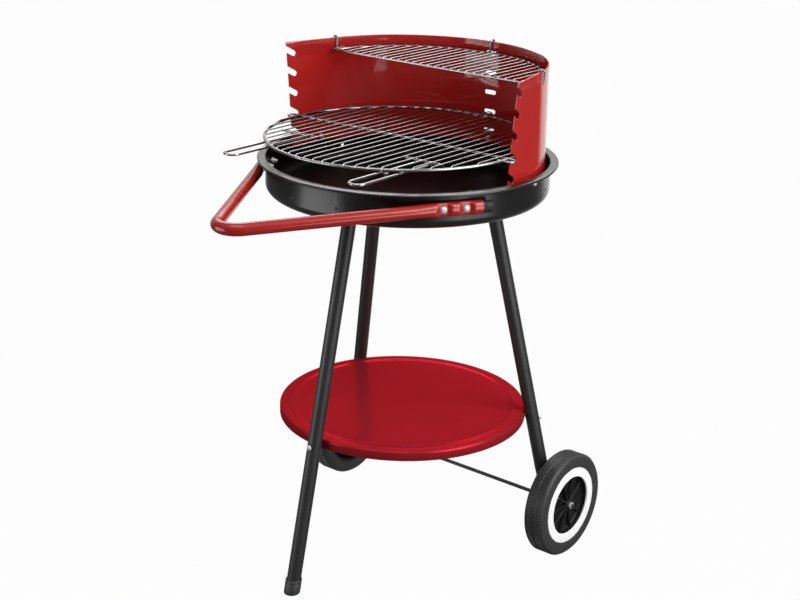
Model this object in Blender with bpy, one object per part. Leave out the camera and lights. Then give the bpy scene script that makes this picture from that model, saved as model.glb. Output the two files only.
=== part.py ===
"""Round charcoal grill on a three-legged trolley, with a half wind shield.

Metres, +Z up.  The front, with the pull handle and the single foot, faces -Y.
The pieces are modelled about the bowl's axis and hang on one empty, which puts
the origin under the middle of the whole grill.
"""
from math import asin, cos, pi, radians, sin, sqrt, tan

import bmesh
import bpy
from mathutils import Vector

# Bowl
BOWL_RADIUS = 0.2175
RIM_FLANGE = 0.0125
RIM_Z = 0.6467
BOWL_DEPTH = 0.0552
BOWL_CORNER = 0.014
BOWL_SHEET = 0.0012
BOWL_FACETS = 44
RIM_ROLL = 0.0020
VENT_RADIUS = 0.0028
VENT_DROP = 0.032
VENT_ANGLES = (21, 159, 258.4, 281.6)

# Wind shield
SHIELD_INSET = 0.0080
SHIELD_TAPER = 0.0015
SHIELD_FLARE_LOW = radians(3)
SHIELD_FLARE_TOP = radians(15)
SHIELD_SHEET = 0.0010
SHIELD_FACETS = 40
SHIELD_TOP = 0.795
SHIELD_HEIGHT = 0.166
SHIELD_FRONT = 0.034
HEM_HEIGHT = 0.013
HEM_STEP = 0.0011
NOTCH_COUNT = 5
NOTCH_PITCH = 0.0316
NOTCH_FIRST_DROP = 0.0183
NOTCH_WIDTH = 0.009
NOTCH_REACH = 0.012
NOTCH_SLOPE = radians(30)
GRID_NOTCH = 3
SLOT_LENGTH = 0.022
SLOT_HEIGHT = 0.007
SHIELD_SCREW_ANGLES = (8, 90, 172)
SHIELD_SCREW_DROP = 0.0100
SPACER_RADIUS = 0.0045

# Cooking grid and warming rack
GRID_CLEARANCE = 0.0065
GRID_RIM_WIRE = 0.0022
GRID_ROD_WIRE = 0.0015
GRID_BAR_WIRE = 0.0020
GRID_ROD_COUNT = 25
GRID_ROD_SIDE = 0.0110
LOOP_OVERHANG = 0.0060
LOOP_RADIUS = 0.008
TONGUE_RADIUS = 0.006
TONGUE_PAST = 0.004
GRIP_FROM_SIDE = 0.083
GRIP_REACH = 0.245
GRIP_HALF_WIDTH = 0.012
GRIP_INNER = 0.085
GRIP_CROSS_HALF = 0.036
GRIP_WIRE = 0.0020
RACK_CLEARANCE = 0.0075
RACK_FRONT = 0.045
RACK_DROP = 0.018
RACK_WIRE = 0.0016
RACK_ROD_WIRE = 0.0013
RACK_ROD_COUNT = 19
RACK_ROD_SIDE = 0.0205
HOOK_ANGLES = (16, 90, 164)
HOOK_TAIL = 0.020

# Pull handle
HANDLE_REACH = 0.402
HANDLE_TUBE = 0.0185
HANDLE_DROP = 0.0230
HANDLE_DROOP = 0.030
HANDLE_DROOP_START = 0.030
HANDLE_HALF_ANGLE = radians(32)
HANDLE_FLAT = 0.0084
HANDLE_FLAT_HEIGHT = 0.0206
HANDLE_BULGE = 0.0086
BOLT_DIMPLE = 0.0064
HANDLE_TAIL = 0.036
HANDLE_NECK = 0.036
HANDLE_BOLT_SPACING = 0.034
HANDLE_BOLT_SHIFT = 0.006
PLUG_LENGTH = 0.016

# Legs, shelf and foot
LEG_TUBE = 0.022
LEG_FOOT_RADIUS = 0.2614
LEG_LEAN = 0.2227
LEG_ANGLES = {"front": -90, "rear_right": 30, "rear_left": 150}
LEG_BEND = 0.022
LEG_TAB = 0.007
LEG_TAB_WIDTH = 0.029
LEG_TAB_LENGTH = 0.0485
LEG_BOLT_SET = 0.0320
KNEE_ABOVE_AXLE = 0.066
AXLE_FLAT = 0.009
AXLE_FLAT_WIDTH = 0.029
AXLE_BACK = 0.0097
FOOT_HEIGHT = 0.026
FOOT_WALL = 0.0022
FOOT_SOLE = 0.004
SHELF_TOP = 0.2398
SHELF_SKIRT = 0.0155
SHELF_SHEET = 0.0012
SHELF_ROUND = 0.004
SHELF_BEAD = 0.0018
SHELF_BEAD_INSET = 0.019
SHELF_SCREW_DROP = 0.0085
SHELF_FACETS = 36

# Axle and wheels
WHEEL_RADIUS = 0.0851
WHEEL_WIDTH = 0.0348
WHEEL_STANDOFF = 0.0337
TYRE_INNER = 0.0637
TREAD_RIBS = 24
TREAD_DEPTH = 0.0012
RING_INNER = 0.0484
RING_THICK = 0.0030
DRUM_WALL = 0.0025
HUB_BOSS = 0.0090
HUB_FACE = 0.0150
HUB_WEB = 0.0050
HUB_WEB_THICK = 0.003
SPOKES = 10
AXLE_RADIUS = 0.0030
AXLE_NUT = 0.0056
AXLE_NUT_HEIGHT = 0.0048

# Fasteners and clearances
GAP = 0.0003
BOLT_SHANK = 0.0025
BOLT_HEAD = 0.0055
BOLT_HEAD_HEIGHT = 0.0036
BOLT_NUT = 0.0047
BOLT_NUT_HEIGHT = 0.0042
SCREW_SHANK = 0.0022
SCREW_HEAD = 0.0045
SCREW_HEAD_HEIGHT = 0.0030
SCREW_NUT = 0.0045
SCREW_NUT_HEIGHT = 0.0034

# Worked-out places, about the bowl's axis
RIM_RADIUS = BOWL_RADIUS + RIM_FLANGE
BOWL_Y = (HANDLE_REACH - RIM_RADIUS) / 2
BOWL_BOTTOM = RIM_Z - BOWL_DEPTH
BOWL_INNER = BOWL_RADIUS - BOWL_SHEET
BOWL_INNER_FLAT = BOWL_INNER * cos(pi / BOWL_FACETS)
SHIELD_RADIUS = BOWL_RADIUS - SHIELD_INSET
SHIELD_TOP_RADIUS = SHIELD_RADIUS - SHIELD_TAPER
SHIELD_BOTTOM = SHIELD_TOP - SHIELD_HEIGHT
GRID_RADIUS = SHIELD_RADIUS - GRID_CLEARANCE
GRID_ROD_PITCH = 2 * (GRID_RADIUS - GRID_ROD_SIDE) / (GRID_ROD_COUNT - 1)
GRIP_X = GRID_RADIUS - GRIP_FROM_SIDE
RACK_RADIUS = SHIELD_TOP_RADIUS - RACK_CLEARANCE
RACK_ROD_PITCH = 2 * (RACK_RADIUS - RACK_ROD_SIDE) / (RACK_ROD_COUNT - 1)
HANDLE_Z = RIM_Z - HANDLE_DROP
HANDLE_OFFSET = BOWL_RADIUS + GAP + HANDLE_FLAT / 2
BAR_Y = NOTCH_REACH - SHIELD_FRONT
NOTCH_END_Z = SHIELD_TOP - NOTCH_FIRST_DROP
BAR_DROP = NOTCH_WIDTH / 2 - GRID_BAR_WIRE - GAP
BAR_Z = NOTCH_END_Z - GRID_NOTCH * NOTCH_PITCH - BAR_DROP
GRID_ROD_RISE = GRID_BAR_WIRE + GRID_ROD_WIRE - 0.0004
GRID_RIM_RISE = GRID_ROD_RISE - GRID_RIM_WIRE - GRID_ROD_WIRE + 0.0004
RACK_Z = SHIELD_TOP - RACK_DROP
AXLE_Z = WHEEL_RADIUS


def leg_radius(z):
    return LEG_FOOT_RADIUS - LEG_LEAN * z


def shield_shape(z):
    """Outer radius of the shield at a height, and the angle where its ends run out straight."""
    share = (z - SHIELD_BOTTOM) / SHIELD_HEIGHT
    radius = SHIELD_RADIUS + (SHIELD_TOP_RADIUS - SHIELD_RADIUS) * share
    flare = SHIELD_FLARE_LOW + (SHIELD_FLARE_TOP - SHIELD_FLARE_LOW) * share
    return radius, flare


def shield_end_x(y, z):
    """Outer half width of the shield's straight end at a depth and a height."""
    radius, flare = shield_shape(z)
    return (radius - sin(flare) * y) / cos(flare)


AXLE_Y = leg_radius(AXLE_Z) * sin(radians(LEG_ANGLES["rear_right"])) + AXLE_BACK
KNEE_Z = AXLE_Z + KNEE_ABOVE_AXLE
LEG_FLAT_X = leg_radius(KNEE_Z) * cos(radians(LEG_ANGLES["rear_right"]))
WHEEL_X = LEG_FLAT_X + WHEEL_STANDOFF
LEG_CORNER = leg_radius(BOWL_BOTTOM - GAP - LEG_TAB / 2)
LEG_BOLT_RADIUS = LEG_CORNER - LEG_BOLT_SET
LEG_TAB_END = LEG_CORNER - LEG_TAB_LENGTH
SHELF_RADIUS = leg_radius(SHELF_TOP - SHELF_ROUND) - LEG_TUBE / 2 - GAP

RED = ((0.56, 0.022, 0.030), 0.28, 0.0)
ENAMEL = ((0.012, 0.012, 0.013), 0.22, 0.0)
LEG_GREY = ((0.035, 0.036, 0.038), 0.42, 0.0)
CHROME = ((0.78, 0.78, 0.77), 0.16, 1.0)
ZINC = ((0.66, 0.66, 0.65), 0.30, 1.0)
BLACK_PLASTIC = ((0.020, 0.020, 0.021), 0.50, 0.0)
TYRE_GREY = ((0.045, 0.045, 0.047), 0.62, 0.0)
WHITE_PLASTIC = ((0.86, 0.86, 0.86), 0.40, 0.0)


def clear_scene():
    for obj in list(bpy.data.objects):
        bpy.data.objects.remove(obj, do_unlink=True)


def make_material(name, look):
    colour, roughness, metallic = look
    material = bpy.data.materials.new(name)
    material.use_nodes = True
    shader = material.node_tree.nodes["Principled BSDF"]
    shader.inputs["Base Color"].default_value = (*colour, 1.0)
    shader.inputs["Roughness"].default_value = roughness
    shader.inputs["Metallic"].default_value = metallic
    material.diffuse_color = (*colour, 1.0)
    return material


def add_object(name, bm, location, direction):
    """Link the mesh; direction is where its local +Z points."""
    bmesh.ops.recalc_face_normals(bm, faces=bm.faces)
    mesh = bpy.data.meshes.new(name)
    bm.to_mesh(mesh)
    bm.free()
    mesh.shade_smooth()
    mesh.set_sharp_from_angle(angle=radians(35))
    obj = bpy.data.objects.new(name, mesh)
    bpy.context.scene.collection.objects.link(obj)
    obj.parent = bpy.data.objects["grill_axis"]
    obj.location = location
    if direction is not None:
        obj.rotation_mode = "QUATERNION"
        obj.rotation_quaternion = Vector((0, 0, 1)).rotation_difference(Vector(direction))
    return obj


def add_part(name, bm, look, location=(0, 0, 0), direction=None):
    obj = add_object(name, bm, location, direction)
    obj.data.materials.append(make_material(name, look))
    return obj


def add_tool(name, bm, location=(0, 0, 0), direction=None):
    """A cutter or a welded-in piece: it shapes another object and is not a part."""
    obj = add_object(name, bm, location, direction)
    obj.hide_render = True
    obj.display_type = "WIRE"
    return obj


def combine(obj, tool, operation):
    modifier = obj.modifiers.new(tool.name, "BOOLEAN")
    modifier.operation = operation
    modifier.object = tool
    modifier.solver = "EXACT"


def loft(bm, rings, closed=False):
    loops = [[bm.verts.new(point) for point in ring] for ring in rings]
    pairs = list(zip(loops, loops[1:]))
    if closed:
        pairs.append((loops[-1], loops[0]))
    for near, far in pairs:
        for i in range(len(near)):
            j = (i + 1) % len(near)
            bm.faces.new((near[i], near[j], far[j], far[i]))
    if not closed:
        bm.faces.new(loops[0])
        bm.faces.new(loops[-1])


def section(centre, across, upward, half_across, half_up, power=2.0, count=12, turn=0.0):
    """A closed outline between an ellipse (power 2) and a flattened tube (power 4)."""
    points = []
    for k in range(count):
        angle = 2 * pi * k / count + turn
        c = cos(angle)
        s = sin(angle)
        x = half_across * abs(c) ** (2 / power) * (1 if c >= 0 else -1)
        y = half_up * abs(s) ** (2 / power) * (1 if s >= 0 else -1)
        points.append(Vector(centre) + Vector(across) * x + Vector(upward) * y)
    return points


def wire(bm, points, radius, sides=6, closed=False):
    """A round wire along a path, with flat ends."""
    path = [Vector(point) for point in points]
    last = len(path) - 1
    rings = []
    normal = None
    for i, point in enumerate(path):
        before = path[i - 1] if i > 0 else (path[-1] if closed else point)
        after = path[i + 1] if i < last else (path[0] if closed else point)
        along = (after - before).normalized()
        if normal is None:
            normal = Vector((0, 0, 1)) if abs(along.z) < 0.9 else Vector((1, 0, 0))
        normal = (normal - along * normal.dot(along)).normalized()
        rings.append(section(point, normal, along.cross(normal), radius, radius, count=sides))
    loft(bm, rings, closed)


def bar(bm, start, end, radius, sides=12):
    wire(bm, (start, end), radius, sides)


def turned(bm, profile, segments, start=0.0, sweep=2 * pi):
    """Turn a closed (radius, z) outline about Z, all the way round or through an arc."""
    full = abs(sweep - 2 * pi) < 1e-6
    steps = segments if full else segments + 1
    columns = []
    poles = {}
    for k in range(steps):
        angle = start + sweep * k / segments
        column = []
        for i, (r, z) in enumerate(profile):
            if r < 1e-9:
                if i not in poles:
                    poles[i] = bm.verts.new((0, 0, z))
                column.append(poles[i])
            else:
                column.append(bm.verts.new((r * cos(angle), r * sin(angle), z)))
        columns.append(column)
    count = len(profile)
    for k in range(segments):
        near = columns[k]
        far = columns[(k + 1) % steps]
        for i in range(count):
            j = (i + 1) % count
            corners = []
            for vert in (near[i], near[j], far[j], far[i]):
                if vert not in corners:
                    corners.append(vert)
            if len(corners) > 2:
                bm.faces.new(corners)
    if not full:
        bm.faces.new(columns[0])
        bm.faces.new(columns[-1])


def arc(centre, radius, first, last, steps):
    """Points of an arc in a plane, angles in degrees."""
    points = []
    for k in range(steps + 1):
        angle = radians(first + (last - first) * k / steps)
        points.append((centre[0] + radius * cos(angle), centre[1] + radius * sin(angle)))
    return points


def polar(radius, degrees, z=0.0):
    return Vector((radius * cos(radians(degrees)), radius * sin(radians(degrees)), z))


def add_bolt(name, seat, direction, grip, small=False):
    """A dome-headed bolt: the head sits on seat, the shank runs grip deep behind it."""
    head = SCREW_HEAD if small else BOLT_HEAD
    height = SCREW_HEAD_HEIGHT if small else BOLT_HEAD_HEIGHT
    shank = SCREW_SHANK if small else BOLT_SHANK
    profile = [(0, height), (head * 0.55, height * 0.88), (head * 0.9, height * 0.5), (head, 0)]
    profile += [(shank, 0), (shank, -grip), (0, -grip)]
    bm = bmesh.new()
    turned(bm, profile, 8)
    add_part(name, bm, ZINC, seat, direction)


def add_nut(name, seat, direction, sizes=(BOLT_NUT, BOLT_NUT_HEIGHT, BOLT_SHANK)):
    """A hexagon nut standing on seat, its hole clear of the shank."""
    half, height, shank = sizes
    hole = (shank + GAP) / cos(pi / 6)
    profile = [(hole, 0), (hole, height), (half, height), (half, 0)]
    bm = bmesh.new()
    turned(bm, profile, 6)
    add_part(name, bm, ZINC, seat, direction)


def handle_frame(side):
    """Outward normal and forward direction of one handle arm; side is +1 right, -1 left."""
    normal = Vector((side * cos(HANDLE_HALF_ANGLE), -sin(HANDLE_HALF_ANGLE), 0))
    forward = Vector((-side * sin(HANDLE_HALF_ANGLE), -cos(HANDLE_HALF_ANGLE), 0))
    return normal, forward


def handle_bolt_points():
    for side, label in ((1, "right"), (-1, "left")):
        normal, forward = handle_frame(side)
        for step, place in ((-0.5, "rear"), (0.5, "front")):
            along = step * HANDLE_BOLT_SPACING + HANDLE_BOLT_SHIFT
            yield f"{label}_{place}", normal, forward * along + Vector((0, 0, HANDLE_Z)), abs(along)


def make_bowl():
    bottom = BOWL_BOTTOM
    corner = (BOWL_RADIUS - BOWL_CORNER, bottom + BOWL_CORNER)
    roll = (RIM_RADIUS - RIM_ROLL, RIM_Z - RIM_ROLL)
    profile = [(0, bottom)]
    profile += arc(corner, BOWL_CORNER, -90, 0, 3)
    profile += [(BOWL_RADIUS, RIM_Z - BOWL_SHEET), (roll[0] - RIM_ROLL, RIM_Z - BOWL_SHEET)]
    profile += arc(roll, RIM_ROLL, -90, 90, 3)
    profile += [(BOWL_INNER + 0.003, RIM_Z), (BOWL_INNER + 0.0009, RIM_Z - 0.0009)]
    profile += [(BOWL_INNER, RIM_Z - 0.003)]
    profile += arc(corner, BOWL_CORNER - BOWL_SHEET, 0, -90, 3)
    profile += [(0, bottom + BOWL_SHEET)]
    bm = bmesh.new()
    turned(bm, profile, BOWL_FACETS)
    bowl = add_part("fire_bowl", bm, ENAMEL)

    holes = bmesh.new()
    for _, normal, place, _ in handle_bolt_points():
        bar(holes, place + normal * (BOWL_RADIUS - 0.02), place + normal * (BOWL_RADIUS + 0.02),
            BOLT_SHANK + GAP)
    for degrees in SHIELD_SCREW_ANGLES:
        z = RIM_Z - SHIELD_SCREW_DROP
        bar(holes, polar(BOWL_RADIUS - 0.01, degrees, z), polar(BOWL_RADIUS + 0.01, degrees, z),
            SCREW_SHANK + GAP)
    for degrees in LEG_ANGLES.values():
        bar(holes, polar(LEG_BOLT_RADIUS, degrees, bottom - 0.01),
            polar(LEG_BOLT_RADIUS, degrees, bottom + 0.01), BOLT_SHANK + GAP)
    for degrees in VENT_ANGLES:
        z = RIM_Z - VENT_DROP
        bar(holes, polar(BOWL_RADIUS - 0.01, degrees, z), polar(BOWL_RADIUS + 0.01, degrees, z),
            VENT_RADIUS)
    combine(bowl, add_tool("bowl_holes", holes), "DIFFERENCE")


def notch_outline(level):
    """The slanted slot of one level as (y, z), from its round end to beyond the shield's edge."""
    y = BAR_Y
    z = NOTCH_END_Z - level * NOTCH_PITCH
    lean = 90 - NOTCH_SLOPE * 180 / pi
    half = NOTCH_WIDTH / 2
    points = arc((y, z), half, lean - 180, lean, 6)
    out = Vector((-cos(NOTCH_SLOPE), sin(NOTCH_SLOPE))) * (2.5 * NOTCH_REACH)
    points.append((points[-1][0] + out.x, points[-1][1] + out.y))
    points.append((points[0][0] + out.x, points[0][1] + out.y))
    return points


def tongue_z():
    return BAR_Z + GRID_RIM_RISE


def slot_z(level):
    """Middle of a rear slot: the grid's tongue lies on the lower edge of its slot."""
    rise = SLOT_HEIGHT / 2 - GRID_ROD_WIRE - GAP
    return tongue_z() + rise + (GRID_NOTCH - level) * NOTCH_PITCH


def shield_rings():
    """Upright sections of the sheet from its right front edge round to its left one."""
    hem = HEM_STEP
    top = SHIELD_TOP
    inner = -SHIELD_SHEET
    span = SHIELD_HEIGHT - HEM_HEIGHT - HEM_STEP
    levels = [SHIELD_BOTTOM + span * i / 5 for i in range(6)]
    outline = [(inner, z) for z in levels]
    outline += [(inner, top - 0.0006), (inner + 0.0006, top), (hem - 0.0006, top), (hem, top - 0.0006)]
    outline += [(hem, top - HEM_HEIGHT)] + [(0, z) for z in reversed(levels)]
    rings = []
    for k in range(-1, SHIELD_FACETS + 2):
        ring = []
        for offset, z in outline:
            radius, flare = shield_shape(z)
            share = min(max(k / SHIELD_FACETS, 0), 1)
            angle = flare + (pi - 2 * flare) * share
            outward = Vector((cos(angle), sin(angle), 0))
            point = outward * (radius + offset)
            if k < 0 or k > SHIELD_FACETS:
                forward = Vector((abs(sin(angle)) * (1 if k < 0 else -1), -abs(cos(angle)), 0))
                point += forward * ((point.y + SHIELD_FRONT) / abs(forward.y))
            ring.append(point + Vector((0, 0, z)))
        rings.append(ring)
    return rings


def make_shield():
    bm = bmesh.new()
    loft(bm, shield_rings())
    shield = add_part("wind_shield", bm, RED)
    screw_z = RIM_Z - SHIELD_SCREW_DROP
    outer = shield_shape(screw_z)[0]
    inner = (outer - SHIELD_SHEET) * cos(pi / (2 * SHIELD_FACETS))

    cuts = bmesh.new()
    for level in range(NOTCH_COUNT):
        outline = notch_outline(level)
        reach = RIM_RADIUS + 0.03
        loft(cuts, [[(x, y, z) for y, z in outline] for x in (-reach, reach)])
        half = SLOT_LENGTH / 2 - SLOT_HEIGHT / 2
        z = slot_z(level)
        pill = arc((half, z), SLOT_HEIGHT / 2, -90, 90, 4) + arc((-half, z), SLOT_HEIGHT / 2, 90, 270, 4)
        loft(cuts, [[(x, y, h) for x, h in pill] for y in (SHIELD_RADIUS - 0.02, SHIELD_RADIUS + 0.02)])
    for degrees in SHIELD_SCREW_ANGLES:
        bar(cuts, polar(outer - 0.01, degrees, screw_z), polar(outer + 0.003, degrees, screw_z),
            SCREW_SHANK + GAP)
    combine(shield, add_tool("shield_cuts", cuts), "DIFFERENCE")

    for degrees, label in zip(SHIELD_SCREW_ANGLES, ("right", "rear", "left")):
        outward = polar(1, degrees)
        seat = polar(BOWL_RADIUS + GAP, degrees, screw_z)
        grip = BOWL_RADIUS + GAP - inner + GAP + SCREW_NUT_HEIGHT + 0.002
        add_bolt(f"shield_screw_{label}", seat, outward, grip, small=True)
        sleeve = bmesh.new()
        length = BOWL_INNER_FLAT - outer - 2 * GAP
        hole = SCREW_SHANK + GAP
        turned(sleeve, [(hole, 0), (hole, length), (SPACER_RADIUS, length), (SPACER_RADIUS, 0)], 12)
        add_part(f"shield_spacer_{label}", sleeve, ZINC, polar(outer + GAP, degrees, screw_z), outward)
        add_nut(f"shield_nut_{label}", polar(inner - GAP, degrees, screw_z), -outward,
                (SCREW_NUT, SCREW_NUT_HEIGHT, SCREW_SHANK))


def bar_path():
    """The cross bar with a hairpin loop at each end, along X, about the bar's middle."""
    face = shield_end_x(BAR_Y, BAR_Z)
    bend = face + LOOP_OVERHANG - LOOP_RADIUS
    back = 2 * LOOP_RADIUS
    tail = GRID_RADIUS - 0.007
    right = arc((bend, -LOOP_RADIUS), LOOP_RADIUS, 90, -90, 6) + [(tail, -back)]
    left = [(-x, y) for x, y in reversed(right)]
    return [(x, y, 0) for x, y in left + right]


def make_grid():
    place = (0, BAR_Y, BAR_Z)
    rim = bmesh.new()
    circle = arc((0, 0), GRID_RADIUS, 0, 360, 48)[:-1]
    wire(rim, [(x, y, GRID_RIM_RISE) for x, y in circle], GRID_RIM_WIRE, 6, closed=True)
    grid = add_part("cooking_grid", rim, CHROME, place)

    rods = bmesh.new()
    for k in range(GRID_ROD_COUNT):
        x = (k - (GRID_ROD_COUNT - 1) / 2) * GRID_ROD_PITCH
        half = sqrt(GRID_RADIUS ** 2 - x ** 2)
        ends = [(half + 0.0012, GRID_RIM_RISE + 0.0012), (half - 0.004, GRID_ROD_RISE)]
        front = [(x, -y, z) for y, z in ends]
        rear = [(x, y, z) for y, z in reversed(ends)]
        wire(rods, front + rear, GRID_ROD_WIRE, 5)
    combine(grid, add_tool("grid_rods", rods, place), "UNION")

    cross = bmesh.new()
    wire(cross, bar_path(), GRID_BAR_WIRE, 6)
    combine(grid, add_tool("grid_cross_bar", cross, place), "UNION")

    tongue = bmesh.new()
    tip = shield_shape(tongue_z())[0] + TONGUE_PAST - GRID_ROD_WIRE - BAR_Y
    root = GRID_RADIUS - 0.006
    bend = arc((0, tip - TONGUE_RADIUS), TONGUE_RADIUS, 0, 180, 6)
    path = [(TONGUE_RADIUS, root)] + bend + [(-TONGUE_RADIUS, root)]
    wire(tongue, [(x, y, GRID_RIM_RISE) for x, y in path], GRID_ROD_WIRE, 6)
    combine(grid, add_tool("grid_tongue", tongue, place), "UNION")


def make_grips():
    """Two wire grips, each a long hairpin under a short cross rod, welded under the grid."""
    cross_drop = GRID_ROD_RISE - GRID_ROD_WIRE - GRIP_WIRE - 0.0006
    leg_drop = min(cross_drop - 2 * GRIP_WIRE + 0.0003, GRID_RIM_RISE - GRID_RIM_WIRE - GRIP_WIRE - GAP)
    place = (0, BAR_Y, BAR_Z)
    for side, label in ((1, "right"), (-1, "left")):
        x = side * GRIP_X
        bend = arc((x, -GRIP_REACH + GRIP_HALF_WIDTH), GRIP_HALF_WIDTH, 180, 360, 8)
        path = [(x - GRIP_HALF_WIDTH, -GRIP_INNER)] + bend + [(x + GRIP_HALF_WIDTH, -GRIP_INNER)]
        hairpin = bmesh.new()
        wire(hairpin, [(px, py, leg_drop) for px, py in path], GRIP_WIRE, 8)
        grip = add_part(f"grid_grip_{label}", hairpin, CHROME, place)
        cross = bmesh.new()
        y = -GRIP_INNER - 0.006
        bar(cross, (x - GRIP_CROSS_HALF, y, cross_drop), (x + GRIP_CROSS_HALF, y, cross_drop), GRIP_WIRE, 8)
        combine(grip, add_tool(f"grip_cross_{label}", cross, place), "UNION")


def make_rack():
    """Half-moon warming rack, hung on the shield's hem by three wire hooks."""
    place = (0, 0, RACK_Z)
    start = asin(RACK_FRONT / RACK_RADIUS) * 180 / pi
    outline = arc((0, 0), RACK_RADIUS, start, 180 - start, 24)
    frame = bmesh.new()
    wire(frame, [(x, y, 0) for x, y in outline], RACK_WIRE, 6, closed=True)
    rack = add_part("warming_rack", frame, CHROME, place)
    rods = bmesh.new()
    rise = RACK_WIRE + RACK_ROD_WIRE - 0.0004
    for k in range(RACK_ROD_COUNT):
        x = (k - (RACK_ROD_COUNT - 1) / 2) * RACK_ROD_PITCH
        rear = sqrt(RACK_RADIUS ** 2 - x ** 2)
        bar(rods, (x, RACK_FRONT - 0.001, rise), (x, rear + 0.001, rise), RACK_ROD_WIRE, 5)
    combine(rack, add_tool("rack_rods", rods, place), "UNION")

    over = RACK_DROP + RACK_WIRE + GAP
    inside = RACK_RADIUS + 2 * RACK_WIRE + GAP
    outside = SHIELD_TOP_RADIUS + HEM_STEP + GAP + 2 * RACK_WIRE
    for degrees, label in zip(HOOK_ANGLES, ("right", "rear", "left")):
        profile = [(inside, -RACK_WIRE), (inside, over - 0.003), (inside + 0.003, over)]
        profile += [(outside - 0.003, over), (outside, over - 0.003), (outside, over - HOOK_TAIL)]
        hook = bmesh.new()
        wire(hook, [polar(r, degrees, z) for r, z in profile], RACK_WIRE, 8)
        add_part(f"rack_hook_{label}", hook, CHROME, place)


def make_handle():
    """One bent tube: flattened, bolted tails on the bowl and a rounded nose in front."""
    round_half = HANDLE_TUBE / 2
    reach = HANDLE_REACH - round_half
    widen = 1 / sin(HANDLE_HALF_ANGLE)
    nose = (HANDLE_OFFSET * widen - reach) / (widen - 1)
    nose_centre = Vector((0, nose - reach, HANDLE_Z))
    inward = HANDLE_FLAT / 2
    tall = HANDLE_FLAT_HEIGHT / 2
    flat = (inward, inward, tall, 3.4)
    proud = (inward, HANDLE_BULGE, tall, 2.4)
    full = (round_half, round_half, round_half, 2.0)
    near, far = HANDLE_BOLT_SPACING / 2 - BOLT_DIMPLE, HANDLE_BOLT_SPACING / 2 + BOLT_DIMPLE
    beside = ((-far - BOLT_DIMPLE, proud), (-far, flat), (-near, flat), (0, proud),
              (near, flat), (far, flat), (far + BOLT_DIMPLE, proud), (far + HANDLE_NECK, full))
    along = [(-HANDLE_TAIL, proud)] + [(s + HANDLE_BOLT_SHIFT, shape) for s, shape in beside]
    droop_y = -HANDLE_OFFSET * sin(HANDLE_HALF_ANGLE) - HANDLE_DROOP_START

    def ring(centre, normal, shape):
        """A tube outline, with its own half thickness on the bowl's side and on the outside."""
        inner, outer, upright, power = shape
        round_one = section(centre, normal, (0, 0, 1), 1, upright, power, count=12)
        return [point + normal * (shift * (outer if shift > 0 else inner) - shift)
                for point in round_one for shift in [(point - centre).dot(normal)]]

    def arm(side):
        normal, forward = handle_frame(side)
        touch = normal * HANDLE_OFFSET + Vector((0, 0, HANDLE_Z))
        return [ring(touch + forward * s, normal, shape) for s, shape in along]

    rings = arm(1)
    steps = 12
    first = -HANDLE_HALF_ANGLE
    sweep = -pi + 2 * HANDLE_HALF_ANGLE
    for k in range(steps + 1):
        angle = first + sweep * k / steps
        normal = Vector((cos(angle), sin(angle), 0))
        rings.append(ring(nose_centre + normal * nose, normal, full))
    rings += reversed(arm(-1))
    for point in (point for one in rings for point in one):
        point.z -= HANDLE_DROOP * max(0, droop_y - point.y)
    bm = bmesh.new()
    loft(bm, rings)
    handle = add_part("pull_handle", bm, RED)

    holes = bmesh.new()
    for _, normal, place, _ in handle_bolt_points():
        bar(holes, place + normal * (HANDLE_OFFSET - 0.02), place + normal * (HANDLE_OFFSET + 0.02),
            BOLT_SHANK + GAP)
    combine(handle, add_tool("handle_holes", holes), "DIFFERENCE")

    for side, label in ((1, "right"), (-1, "left")):
        normal, forward = handle_frame(side)
        touch = normal * HANDLE_OFFSET + Vector((0, 0, HANDLE_Z))
        steps = ((GAP, 1.0), (PLUG_LENGTH * 0.85, 1.0), (PLUG_LENGTH, 0.80))
        rings = []
        for s, scale in steps:
            centre = touch - forward * (HANDLE_TAIL + s)
            rings.append(ring(centre, normal, (*(half * scale for half in proud[:3]), proud[3])))
        plug = bmesh.new()
        loft(plug, rings)
        add_part(f"handle_plug_{label}", plug, BLACK_PLASTIC)

    for label, normal, place, along in handle_bolt_points():
        inner_face = sqrt(BOWL_INNER_FLAT ** 2 - (along + BOLT_NUT) ** 2) - GAP
        face = HANDLE_OFFSET + HANDLE_FLAT / 2 + GAP
        add_bolt(f"handle_bolt_{label}", place + normal * face, normal,
                 face - inner_face + BOLT_NUT_HEIGHT + 0.005)
        add_nut(f"handle_nut_{label}", place + normal * inner_face, -normal)


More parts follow.
